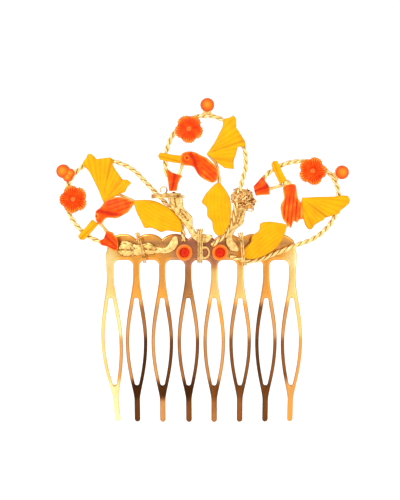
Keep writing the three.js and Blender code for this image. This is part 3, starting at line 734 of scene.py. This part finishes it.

# ---- The birds' wings and tails --------------------------
# Thin cast plates, bare behind and under opaque yellow enamel in front, painted darker as shade
# along the edge and in the grooves. The wing's flutes fan out from its root to stepped feather
# ends; the tail's run down it.
WINGS = {
    "left": (
        (-0.9, 25.8), (1.0, 28.5), (2.6, 31.2), (3.8, 33.4), (4.2, 34.8), (4.3, 36.2), (5.3, 36.4),
        (6.5, 36.3), (7.6, 36.5), (8.2, 35.9), (8.1, 34.8), (7.8, 33.8), (9.1, 32.3), (10.3, 30.9),
        (10.0, 29.8), (8.9, 29.2), (8.2, 27.7), (7.5, 25.8), (7.1, 24.8), (7.8, 23.8), (7.7, 22.3),
        (6.1, 22.6), (4.7, 22.4), (2.9, 23.6), (1.3, 24.5), (0.1, 25.1),
    ),
    "centre": (
        (0.1, 26.3), (2.3, 29.7), (4.2, 33.8), (4.5, 36.0), (6.0, 36.4), (7.1, 37.1), (7.9, 36.1),
        (8.0, 33.7), (9.5, 31.6), (10.5, 30.0), (10.6, 28.7), (8.5, 28.6), (8.2, 26.9),
        (7.5, 24.6), (7.7, 22.6), (5.2, 22.8), (3.2, 24.2), (1.7, 25.5),
    ),
    "right": (
        (-0.3, 26.6), (1.9, 30.4), (4.1, 33.9), (5.2, 36.2), (6.1, 37.4), (7.4, 37.3), (8.1, 36.4),
        (8.3, 34.9), (8.4, 33.5), (8.9, 32.8), (8.3, 30.7), (7.7, 28.9), (8.0, 28.4), (7.8, 26.6),
        (7.8, 25.3), (8.3, 24.3), (8.1, 23.6), (7.4, 23.3), (6.1, 23.4), (4.4, 23.9), (2.1, 25.1),
    ),
}
WING_LINE = ((2.0, 26.4), (6.6, 34.2))
WING_ROOT = (-2.2, 25.6)
TAIL = (
    (3.2, 18.8), (1.6, 17.3), (0.1, 15.4), (-0.6, 13.4), (0.7, 12.1), (1, 9.7), (2.2, 8.4),
    (2.6, 6.3), (3.8, 4.7), (5.1, 4.9), (6.4, 6.6), (7.2, 9.2), (7.3, 12.4), (6.8, 15),
    (5.4, 17.3), (4.1, 18.7),
)
TAILS = {
    "left": (
        (3.9, 19.1), (5.5, 17.4), (6.7, 15.4), (7.3, 13.7), (7.6, 11.3), (7.6, 9.0), (7.2, 6.7),
        (6.1, 4.8), (4.3, 3.7), (3.7, 4.2), (3.0, 5.8), (2.3, 7.2), (1.1, 8.3), (0.9, 9.8),
        (0.5, 11.3), (-0.4, 12.5), (0.5, 14.3), (1.9, 16.8), (3.2, 18.4),
    ),
    "centre": TAIL,
    "right": TAIL,
}
TAIL_LINE = ((3.4, 17.0), (4.7, 7.0))
BEAK = (
    (-12.3, 26.5), (-12.8, 25.5), (-12.3, 24.5), (-9, 23.9), (-6.4, 23.6), (-6.4, 25.8), (-9, 26.0),
)
BEAK_LINE = ((-11.6, 25.4), (-7.4, 24.8))
WING_DEPTHS = (0.95, 1.3, 1.85)
TAIL_DEPTHS = (0.95, 1.3, 1.9)
BEAK_DEPTHS = (0.95, 1.25, 1.8)


def wing_flutes(u, v):
    """Ridges by the angle round the wing's root, with two deeper steps between feather groups."""
    angle = np.degrees(np.arctan2(v - WING_ROOT[1], u - WING_ROOT[0]))
    reach = np.hypot(u - WING_ROOT[0], v - WING_ROOT[1])
    ridge = np.abs(np.sin(np.radians(angle) * 26)) ** 0.7 - 0.65
    step = bell(angle + 4, 1.6) + 0.7 * bell(angle - 21, 1.8)
    return 0.15 * ridge * eased(reach, 2, 6) - 0.2 * step * eased(reach, 2, 5)


def tail_flutes(u, v):
    """Ridges that run down the tail and bend with it: by the distance from a curved line."""
    aside = u - 3.6 - 0.018 * (v - 14) ** 2
    return 0.11 * (np.abs(np.sin(aside * 3.2)) ** 0.7 - 0.65) * eased(-v, -18.5, -14)


def beak_flutes(u, v):
    """A groove along the beak, on the slanting line where it closes."""
    return -0.18 * bell(v - 25.3 + 0.22 * (u + 12), 0.16)


yellow = Finish("yellow_enamel", Specular_IOR_Level=0.1, Coat_Weight=0.04, Coat_Roughness=0.12)
# Painted shade: darker along the edge.
enamel_edge_shade = yellow.mark("rim").between(0.88, 1.0) * -0.24
# Painted shade in the grooves and painted light on the ridges, with noise.
shade_and_tone = yellow.mark("cut") * 1.7 + (yellow.noise(0.35, 2) - 0.5) * 0.6 + enamel_edge_shade + 0.56
yellow_color = yellow.ramp(
    shade_and_tone, (0.1, 200, 128, 0), (0.38, 224, 152, 0), (0.6, 238, 169, 0), (0.9, 249, 186, 6),
)
yellow.enamel(yellow_color, 0.32 + yellow.noise(2.0) * 0.15)
yellow.grain(0.05, 0.5, 1.6)
for side in SIDES:
    for name, corners, line, depths, relief, soft, curved in (
        ("wing", WINGS[side], WING_LINE, WING_DEPTHS, wing_flutes, 0.12, False),
        ("tail", TAILS[side], TAIL_LINE, TAIL_DEPTHS, tail_flutes, 0.15, True),
        ("beak", BEAK, BEAK_LINE, BEAK_DEPTHS, beak_flutes, 0.2, False),
    ):
        sheets = pillow(outline_of(corners, 420, soft, curved), line, depths, 30, relief, 5.0)
        mount(side, f"fluted_{name}", sheets, yellow, "yellow_enamel", f"bird_{name}")

# ---- The birds' bodies and the flowers -------------------
# Cast rounds, bare behind and under orange enamel in front, painted deep red as shade in the
# grooves and pale as a painted highlight along the edge. The daisy is pressed with fine flutes.
BODIES = {
    "left": (
        (-5.1, 25.6), (-4.0, 26.1), (-2.6, 25.7), (-1.3, 25.6), (-0.1, 25.6), (1.2, 24.8),
        (2.4, 23.4), (3.2, 21.8), (3.6, 20.2), (3.9, 18.6), (2.7, 18.6), (1.7, 18.6), (0.3, 18.8),
        (-1.0, 19.5), (-2.6, 20.5), (-3.3, 21.8), (-4.0, 22.7), (-4.8, 22.9), (-5.6, 22.9),
        (-6.3, 23.3), (-6.3, 24.1), (-5.8, 25.0),
    ),
    "centre": (
        (-6.9, 25.4), (-6.3, 26.4), (-5.2, 26.9), (-3.8, 27.0), (-2.5, 26.7), (-1.6, 26.2),
        (-0.5, 25.8), (0.6, 25.2), (1.7, 24.3), (2.7, 23.3), (3.4, 22.2), (3.6, 21.1), (3.4, 19.9),
        (2.7, 19.0), (1.7, 18.8), (0.4, 19.3), (-1.0, 20.1), (-2.1, 21.2), (-2.8, 22.3),
        (-3.3, 22.9), (-4.3, 23.1), (-5.6, 23.2), (-6.6, 23.8), (-7.0, 24.6),
    ),
    "right": (
        (-5.5, 23.9), (-5.5, 25.1), (-4.3, 27.0), (-2.8, 26.6), (-0.9, 25.7), (1.0, 25.6),
        (4.7, 23.6), (4.3, 22.8), (4.7, 21.8), (3.8, 21.4), (4.9, 19.6), (3.7, 19.4), (2.0, 19.1),
        (-0.9, 20.1), (-2.0, 21.1), (-2.8, 22.5), (-4.3, 23.2),
    ),
}
BODY_LINE = ((-4.3, 24.9), (1.7, 20.8))
EYE_SPOT = (-5.0, 25.2)
BARE_HEAD = (-5.5, 25.3)
TULIPS = {
    "left": (
        (-6.7, 20.8), (-9.0, 20.2), (-10.2, 20.9), (-10.8, 19.8), (-10.2, 18.2), (-10.2, 15.9),
        (-9.6, 15.3), (-8.2, 16.0), (-7.0, 17.2), (-6.2, 19.2),
    ),
    "centre": (
        (-10.3, 22.3), (-9.0, 21.3), (-7.5, 20.8), (-6.0, 20.4), (-6.7, 19.4), (-7.2, 18.0),
        (-7.4, 16.3), (-9.5, 16.1), (-9.8, 18.2), (-10.2, 20.4),
    ),
    "right": (
        (-10.0, 17.3), (-10.5, 19.1), (-10.9, 20.7), (-9.3, 20.8), (-7.8, 20.9), (-5.7, 19.8),
        (-6.6, 18.2), (-7.5, 16.4), (-8.9, 16.8),
    ),
}
TULIP_LINE = ((-8.6, 20.0), (-8.5, 17.0))
DAISY_MIDDLE = (-4.7, 33.0)
DAISY_RADIUS = 3.8
DAISY_NOTCH = 0.19
BODY_DEPTHS = (0.95, 1.35, 2.4)
TULIP_DEPTHS = (0.95, 1.3, 2.0)
DAISY_DEPTHS = (0.95, 1.35, 1.95)
BUTTON_RADIUS = 0.62
BUTTON_HEIGHTS = (1.6, 1.9, 0.62)
HEAD_RADIUS = 1.15
HEAD_HEIGHTS = (0.95, 1.2, 0.75)
PETALS = 5
FLUTES = 6
FLUTE_DEPTHS = {"left": 0.3, "centre": 0.16, "right": 0.3}


def body_feathers(side):
    """Grooves along the back half of the body, deeper on the right; a notch for the neck and a
    ring round the eye, each a bell curve of the distance from its line."""
    depth = 0.26 if side == "right" else 0.13
    start = -3.6 if side == "right" else -2.0

    def relief(u, v):
        aside = (u * 0.62 + v * 0.78) - 18.2
        flank = eased(u, start, start + 2)
        neck = bell(u + 2.9 + 0.4 * (v - 24), 0.5) * (side != "right")
        from_eye = np.hypot(u - EYE_SPOT[0], v - EYE_SPOT[1])
        eye_ring = bell(from_eye - 0.6, 0.18)
        eye = (0.2 * eye_ring - 0.16 * bell(from_eye, 0.24)) * (side != "right")
        return depth * (np.abs(np.sin(aside * 3.0)) ** 0.8 - 0.6) * flank - 0.2 * neck + eye

    return relief


def tulip_lobes(u, v):
    """Two folds that fan from the tulip's foot."""
    angle = np.degrees(np.arctan2(v - 14.5, u + 9.1))
    return -0.22 * bell(angle - 104, 5) - 0.2 * bell(angle - 80, 5)


def daisy(depths, flute_depth):
    """Five notched petals round a middle: the edge's radius and the height both follow the
    cosine of the angle, with a finer cosine for the flutes and a dip at the middle."""
    back, edge, crown = depths
    count = 361
    turn = np.linspace(0, 2 * np.pi, count)
    share = np.sin(np.linspace(0, np.pi / 2, 34))[:, None]
    petal = np.abs(np.cos(PETALS * turn / 2))
    radius = DAISY_RADIUS * (1 - DAISY_NOTCH * (1 - petal) ** 1.8)
    radius = radius * (1 + 0.028 * np.cos(PETALS * FLUTES * turn))
    ridges = np.abs(np.cos(PETALS * FLUTES * turn / 2)) ** 0.8 - 0.6
    flutes = flute_depth * ridges * eased(share, 0.15, 0.4) * (1 - share**12)
    carve = flutes - 0.2 * (1 - petal) ** 6 * eased(share, 0.3, 0.9)
    rise = np.sqrt(np.clip(1 - share**5, 0, 1)) - 0.35 * bell(share, 0.2)
    ring = np.stack([radius * np.sin(turn), -radius * np.cos(turn)], -1)
    plan = np.array(DAISY_MIDDLE) + share[..., None] * ring
    front = np.concatenate([plan, (edge + (crown - edge) * rise + carve)[..., None]], -1)
    skirt = [
        np.column_stack([np.array(DAISY_MIDDLE) + part * ring, np.full(count, depth)])
        for part, depth in ((1.0, edge), (1.0, back), (0.0, back))
    ]
    ones = np.ones((3, count))
    return [
        (front, {"rim": share * ones[0], "cut": carve, "back": 0 * carve}),
        (np.stack(skirt), {"rim": ones, "cut": 0 * ones, "back": ones * np.array([[0], [1], [1]])}),
    ]


def domed(radius, foot, middle, rise, start, count):
    """A lathe profile: flat underneath at the foot, and an oval dome from the start angle up."""
    turn = np.linspace(start, np.pi / 2, count)
    return [(0, foot), *zip(radius * np.cos(turn), middle + rise * np.sin(turn))]


def turned(profile, around, center=(0, 0), shape=(1, 1)):
    """A lathe profile of (radius, height) spun round a line out of the face, with its marks."""
    profile = np.array(profile, float)
    turn = np.linspace(0, 2 * np.pi, around + 1)
    u = center[0] + profile[:, :1] * np.cos(turn) * shape[0]
    v = center[1] + profile[:, :1] * np.sin(turn) * shape[1]
    grid = np.stack(np.broadcast_arrays(u, v, profile[:, 1:]), -1)
    rim = profile[:, :1] / profile[:, 0].max() * np.ones(around + 1)
    back = rim * 0 + (profile[:, 1:] < profile[:, 1].min() + 0.02)
    return [(grid, {"rim": rim, "cut": 0 * rim, "back": back})]


def orange_enamel(name, *stops, by_rim=False):
    """Orange enamel: its colour runs from painted shade in the grooves to a painted highlight along
    the edge, or by the radius.
    """
    finish = Finish(name, Specular_IOR_Level=0.1, Coat_Weight=0.07, Coat_Roughness=0.08)
    uneven = (finish.noise(0.6, 3) - 0.5) * 0.8 + (finish.noise(2.2, 2) - 0.5) * 0.3
    # Painted highlight: paler towards the edge.
    edge_highlight = finish.mark("rim").between(0.62, 1.0) * 0.5
    # Painted shade: deep red in the grooves, paler on the ridges, with uneven noise.
    shade = finish.mark("cut") * 2.1 + uneven + edge_highlight + 0.34
    if by_rim:
        shade = finish.mark("rim") + (finish.noise(0.9, 3) - 0.5) * 0.25
    finish.enamel(finish.ramp(shade, *stops), 0.24 + finish.noise(2.5) * 0.16)
    finish.grain(0.08, 0.5, 1.8)
    return finish


body_orange = orange_enamel(
    "deep_orange_enamel",
    (0.02, 196, 40, 0), (0.26, 234, 66, 0), (0.46, 247, 90, 6), (0.7, 250, 122, 22),
    (0.95, 254, 166, 58),
)
daisy_orange = orange_enamel(
    "daisy_enamel",
    (0.02, 196, 36, 0), (0.26, 236, 58, 0), (0.46, 248, 80, 6), (0.72, 250, 110, 22),
    (0.95, 254, 152, 56),
)
pale_orange = orange_enamel(
    "pale_button_enamel",
    (0.1, 240, 84, 12), (0.5, 252, 120, 40), (0.9, 255, 164, 88),
)
for side in SIDES:
    outline = outline_of(BODIES[side], 360, 0.1, True)
    sheets = pillow(outline, BODY_LINE, BODY_DEPTHS, 28, body_feathers(side), 2.6)
    mount(side, "plump_body", sheets, body_orange, "orange_enamel", "bird_body")
    outline = outline_of(TULIPS[side], 240, 0.14)
    sheets = pillow(outline, TULIP_LINE, TULIP_DEPTHS, 20, tulip_lobes, 3.0)
    mount(side, "tulip_bud", sheets, body_orange, "orange_enamel", "tulip")
    sheets = daisy(DAISY_DEPTHS, FLUTE_DEPTHS[side])
    mount(side, "pressed_daisy", sheets, daisy_orange, "orange_enamel", "daisy")
    sheets = turned(domed(BUTTON_RADIUS, *BUTTON_HEIGHTS, -0.4, 9), 28, DAISY_MIDDLE)
    mount(side, "daisy_eye", sheets, pale_orange, "orange_enamel", "daisy_button")
sheets = turned(domed(HEAD_RADIUS, *HEAD_HEIGHTS, -0.3, 10), 32, BARE_HEAD)
mount("right", "bare_head", sheets, pitted_gold, "cast_gold")

# ---- The tip beads ---------------------------------------
# A domed orange bead sits in a small gold cup on top of each oval. The left one has run over
# its cup, so that two drops of enamel hang below it.
CUP_RADIUS = 1.9
CUP_NECK = ((-1.3, 37.2), (-0.6, 36.9), (0.6, 36.9), (1.3, 37.2))
CUP_LINE = ((0, 38.4), (0, 39.8))
CUP_DEPTHS = (-0.4, 0.2, 0.45)
BEAD_RADIUS = 1.82
BEAD_HEIGHTS = (0.45, 0.9, 1.3)
DROP_RADIUS = 1.32
DROP_HEIGHTS = (0.4, 0.8, 0.95)
DROP_SPOT = (0.62, 1.95)
# Painted highlight and shade: each bead is painted pale in its middle and darker towards its rim.
bead_orange = orange_enamel(
    "bead_enamel",
    (0.1, 254, 146, 34), (0.45, 248, 122, 22), (0.75, 240, 94, 14), (1.0, 218, 66, 10),
    by_rim=True,
)
foot_turn = np.radians(np.linspace(-58, 238, 60))
cup_outline = [(CUP_RADIUS * np.cos(a), TIP_CUP_UP + CUP_RADIUS * np.sin(a)) for a in foot_turn]
cup_outline += CUP_NECK
for side in SIDES:
    sheets = pillow(outline_of(cup_outline, 160, 0.1), CUP_LINE, CUP_DEPTHS, 10)
    mount(side, "bead_cup", sheets, pitted_gold, "cast_gold", "tip_cup")
    sheets = turned(domed(BEAD_RADIUS, *BEAD_HEIGHTS, -0.35, 16), 48, (0, TIP_CUP_UP))
    if side == "left":
        drop = domed(DROP_RADIUS, *DROP_HEIGHTS, -0.35, 16)
        for aside in (-DROP_SPOT[0], DROP_SPOT[0]):
            sheets += turned(drop, 32, (aside, TIP_CUP_UP - DROP_SPOT[1]))
    mount(side, "domed_bead", sheets, bead_orange, "bead_orange", "tip_bead")

# ---- The end cups ----------------------------------------
# At the foot of each outer medallion a turned ring of orange enamel holds a red stone, and the
# middle one ends in a plain gold ring. All three are bound against the bar.
CUP_OUTER = 2.2
CUP_BORE = 1.25
CUP_FOOT = -0.6
LIP_HEIGHTS = (0.72, 0.46)
STONE = 1.15
STONE_HEIGHTS = (0.1, 0.22)
RING_RADII = (1.28, 0.36, 0.5)
RING_SPOT = (0.55, 0)
RING_SHAPE = (0.95, 1.16)
cup_orange = orange_enamel(
    "cup_enamel",
    (0.56, 232, 62, 12), (0.7, 250, 104, 24), (0.86, 252, 132, 44), (1.0, 250, 152, 74),
    by_rim=True,
)
stone_red = orange_enamel(
    "red_stone",
    (0.0, 196, 22, 2), (0.5, 226, 40, 10), (1.0, 248, 76, 34),
    by_rim=True,
)
lip = np.linspace(-0.15, np.pi + 0.15, 15)
bead_half = (CUP_OUTER - CUP_BORE) / 2
lip_reach = CUP_BORE + bead_half + bead_half * np.cos(lip)
lip_rows = zip(lip_reach, LIP_HEIGHTS[0] + LIP_HEIGHTS[1] * np.sin(lip))
cup_profile = [(CUP_BORE, CUP_FOOT), (CUP_OUTER, CUP_FOOT), *lip_rows, (CUP_BORE, CUP_FOOT)]
dish = [(STONE * s, STONE_HEIGHTS[0] + STONE_HEIGHTS[1] * (1 - s**2)) for s in np.linspace(1, 0, 9)]
stone_profile = [(0, CUP_FOOT), (STONE, CUP_FOOT), *dish]
for side in ("left", "right"):
    sheets = turned(cup_profile, 56)
    mount(side, "enamel_cup", sheets, cup_orange, "orange_enamel", "end_cup", crease=60)
    sheets = turned(stone_profile, 36)
    mount(side, "red_stone", sheets, stone_red, "red_enamel", "end_stone", crease=50)
ring_turn = np.linspace(0, 2 * np.pi, 21)
ring_reach = RING_RADII[0] + RING_RADII[1] * np.cos(ring_turn)
sheets = turned([*zip(ring_reach, RING_RADII[2] * np.sin(ring_turn))], 56, RING_SPOT, RING_SHAPE)
mount("centre", "gold_ring", sheets, pitted_gold, "cast_gold", "end_ring")

# ---- The binding wire ------------------------------------
# Soft round gold wire, wound by hand a few times round the bar and whatever lies on it. On the
# left it crosses to the next medallion and ends in a curl; on the right it is a tangled nest
# round a dark packed heart.
WIRE_RADIUS = 0.18
WIRE_PITCH = 0.52
FIRST_CORNER = 3
bright_wire = Finish("bright_wire", Metallic=1.0)
bright_wire.gold(
    bright_wire.noise(0.7, 2),
    0.2 + bright_wire.noise(3.0) * 0.15,
    (0.25, 136, 86, 36), (0.4, 208, 160, 86), (0.55, 240, 202, 124), (0.75, 253, 230, 172),
)
bright_wire.grain(0.03, 0.5, 4.0)


def wound(low, high, slant, corners):
    """Turns of wire round what fills a box: eight corners a turn, in pairs, each turn moved on
    by the pitch. The foot of a turn stands `slant` aside of its head."""
    low = low + WIRE_RADIUS
    high = high - WIRE_RADIUS
    ring = np.array(
        [(0.05, 1), (0.95, 1), (1, 0.88), (1, 0.12), (0.95, 0), (0.05, 0), (0, 0.12), (0, 0.88)]
    )
    count = np.arange(corners + 1)
    share, outward = ring[(FIRST_CORNER + count) % 8].T
    x = low[0] + slant * (1 - share) + WIRE_PITCH * count / 8
    return np.stack([x, blend(high[1], low[1], outward), blend(low[2], high[2], share)], 1)


def wire_piece(name, paths, node, finish):
    """Round wire along each path, its section turned by the direction from the path's middle."""
    sheets = []
    for path in paths:
        toward = path - path.mean(0) + 0.013
        sheets.append((swept(path, WIRE_RADIUS, toward, 8), {}))
    fit(surface(name, sheets), finish, "wire_gold", node)


for name, node, slant, corners, aside in (
    ("left_binding", "bar_wrap_left", 2.1, 17, 0.0),
    ("right_binding", "bar_wrap_right", 0.7, 21, 0.0),
    ("middle_binding", "centre_wrap", 0.0, 25, 0.25),
):
    low, high = (np.array(corner) / MM + (aside, 0, 0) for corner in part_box(node))
    wire_piece(name, [spline(wound(low, high, slant, corners), 7)], node, bright_wire)

low, high = (np.array(corner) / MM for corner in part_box("left_tie"))
CURL_RADIUS = 0.9
CURL_INSET = (3.7, 0.2, 0.1)
TIE_INSET = (0.4, 0.3, 0.3)
TIE_TURNS = 2.4
TIE_STEP = WIRE_PITCH * 0.8
curl_turn = np.linspace(-np.pi / 2, 1.2 * np.pi, 14)
curl_up = high[2] - CURL_RADIUS - CURL_INSET[2]
curl_spot = np.array([low[0] + CURL_INSET[0], low[1] + CURL_INSET[1], curl_up])
curl = np.stack([np.cos(curl_turn), 0 * curl_turn, np.sin(curl_turn)], 1) * CURL_RADIUS + curl_spot
run = np.linspace(0, 2 * np.pi * TIE_TURNS, 60)[:, None]
reach = np.array([(high[0] - low[0]) / 2 - TIE_INSET[0], 0, 0])
depth = np.array([0, (high[1] - low[1]) / 2 - TIE_INSET[1], 0])
tie_middle = np.array([*(low + high)[:2] / 2, low[2] + TIE_INSET[2]])
climb = run / (2 * np.pi) * np.array([0, 0, TIE_STEP])
turns = tie_middle - np.cos(run) * reach - np.sin(run) * depth + climb
tie_path = np.concatenate([spline(turns, 4), spline(curl, 6)])
wire_piece("left_crossing_tie", [tie_path], "left_tie", bright_wire)

NEST_RADII = np.array([3.3, 2.1, 3.0])
NEST_SHIFT = (-1.3, -0.5, 1.0)
SIDE_SHIFT = (2.2, -0.2, -2.0)
low, high = (np.array(corner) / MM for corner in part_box("right_tie"))
nest_middle = (low + high) / 2 + NEST_SHIFT
nest_side = nest_middle + SIDE_SHIFT


def tangle(middle, size, count, seed):
    """Wire through random points of an ellipsoid, pushed out over its skin half way between."""
    scatter = np.random.default_rng(seed)
    way = unit(scatter.normal(size=(count, 3)))
    over = unit(way[:-1] + way[1:] + 0.01)
    stops = np.empty((2 * count - 1, 3))
    stops[::2] = way
    stops[1::2] = over
    swell = scatter.uniform(0.66, 1.02, size=(len(stops), 1))
    return spline(middle + size * NEST_RADII * stops * swell, 7)


nest = [
    tangle(nest_middle, 1.0, 30, 4),
    tangle(nest_middle, 0.86, 24, 11),
    tangle(nest_side, 0.62, 20, 6),
]
dull_wire = Finish("dull_wire", Metallic=1.0)
stain = dull_wire.noise(1.6, 2)
dull_wire.gold(
    stain,
    0.22 + stain * 0.2,
    (0.3, 112, 60, 22), (0.42, 196, 128, 62), (0.52, 240, 196, 120), (0.66, 255, 232, 176),
)
dull_wire.grain(0.03, 0.5, 4.0)
wire_piece("right_wire_nest", nest, "right_tie", dull_wire)


def packed_heart(middle, size):
    """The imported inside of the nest: an ellipsoid with ripples in both of its angles, which
    fade towards its poles."""
    turn, rise = np.meshgrid(np.linspace(0, 2 * np.pi, 61), np.linspace(0, np.pi, 31))
    ripple = 0.09 * np.sin(9 * turn) * np.sin(7 * rise) + 0.05 * np.cos(5 * turn + 4 * rise)
    fade = np.sin(rise)
    ball = np.stack([np.cos(turn) * fade, np.sin(turn) * fade, np.cos(rise)], -1)
    return middle + size * NEST_RADII * ball * (1 + ripple * fade)[..., None], {}


packed = Finish("packed_wire", Metallic=1.0)
strands = packed.noise(1.9, 3)
packed.gold(
    strands,
    0.3 + strands * 0.2,
    (0.3, 120, 62, 24), (0.42, 206, 130, 56), (0.5, 236, 186, 104), (0.6, 252, 216, 140),
    (0.72, 250, 110, 40),
)
packed.grain(0.35, 0.9, 2.6, 4)
heart = [packed_heart(nest_middle, 0.74), packed_heart(nest_side, 0.4)]
fit(surface("right_nest_heart", heart), packed, "wire_gold")

# ---- Floor and light -------------------------------------
# A pale sweep that curves up behind the comb, an even white surround, and two large soft
# lights: the key from the upper left and a weaker one from the right.
FLOOR_DROP = 0.022
SWEEP_BACK = 0.5
SWEEP_RADIUS = 0.3
SWEEP_FRONT = -2.0
SWEEP_TOP = 2.0
SWEEP_HALF = 2.5
SURROUND_STRENGTH = 0.8
floor_height = cad_box[0][2] - FLOOR_DROP
bend = np.linspace(0, np.pi / 2, 24)
bend_back = SWEEP_BACK + SWEEP_RADIUS * np.sin(bend)
bend_up = floor_height + SWEEP_RADIUS * (1 - np.cos(bend))
sweep_foot = (SWEEP_FRONT, floor_height)
sweep_head = (SWEEP_BACK + SWEEP_RADIUS, SWEEP_TOP)
profile = np.vstack([sweep_foot, np.stack([bend_back, bend_up], 1), sweep_head])
across = np.array([-SWEEP_HALF, SWEEP_HALF])
sweep_grid = np.stack(np.broadcast_arrays(across, profile[:, :1], profile[:, 1:]), -1)
sweep = surface("pale_sweep", [(sweep_grid / MM, {})], closed=False)
paper = Finish("pale_paper", Roughness=0.9, Emission_Color=(1, 1, 1, 1), Emission_Strength=0.22)
paper.set(Base_Color=paper.mix(paper.noise(0.01), (0.93, 0.93, 0.93, 1), (0.96, 0.96, 0.96, 1)))
sweep.data.materials.append(paper.material)

surround = bpy.data.worlds.new("white_surround")
surround.use_nodes = True
surround.node_tree.nodes["Background"].inputs["Color"].default_value = (1, 1, 1, 1)
surround.node_tree.nodes["Background"].inputs["Strength"].default_value = SURROUND_STRENGTH
bpy.context.scene.world = surround
bpy.context.scene.view_settings.view_transform = "Standard"

for name, spot, size, power in (
    ("key_light", (-0.4, -0.6, 0.5), 0.5, 3.0),
    ("fill_light", (0.6, -0.5, 0.2), 0.5, 1.0),
):
    lamp = bpy.data.lights.new(name, "AREA")
    lamp.size = size
    lamp.energy = power
    holder = bpy.data.objects.new(name, lamp)
    holder.location = spot
    holder.rotation_euler = (middle - Vector(spot)).to_track_quat("-Z", "Y").to_euler()
    bpy.context.collection.objects.link(holder)
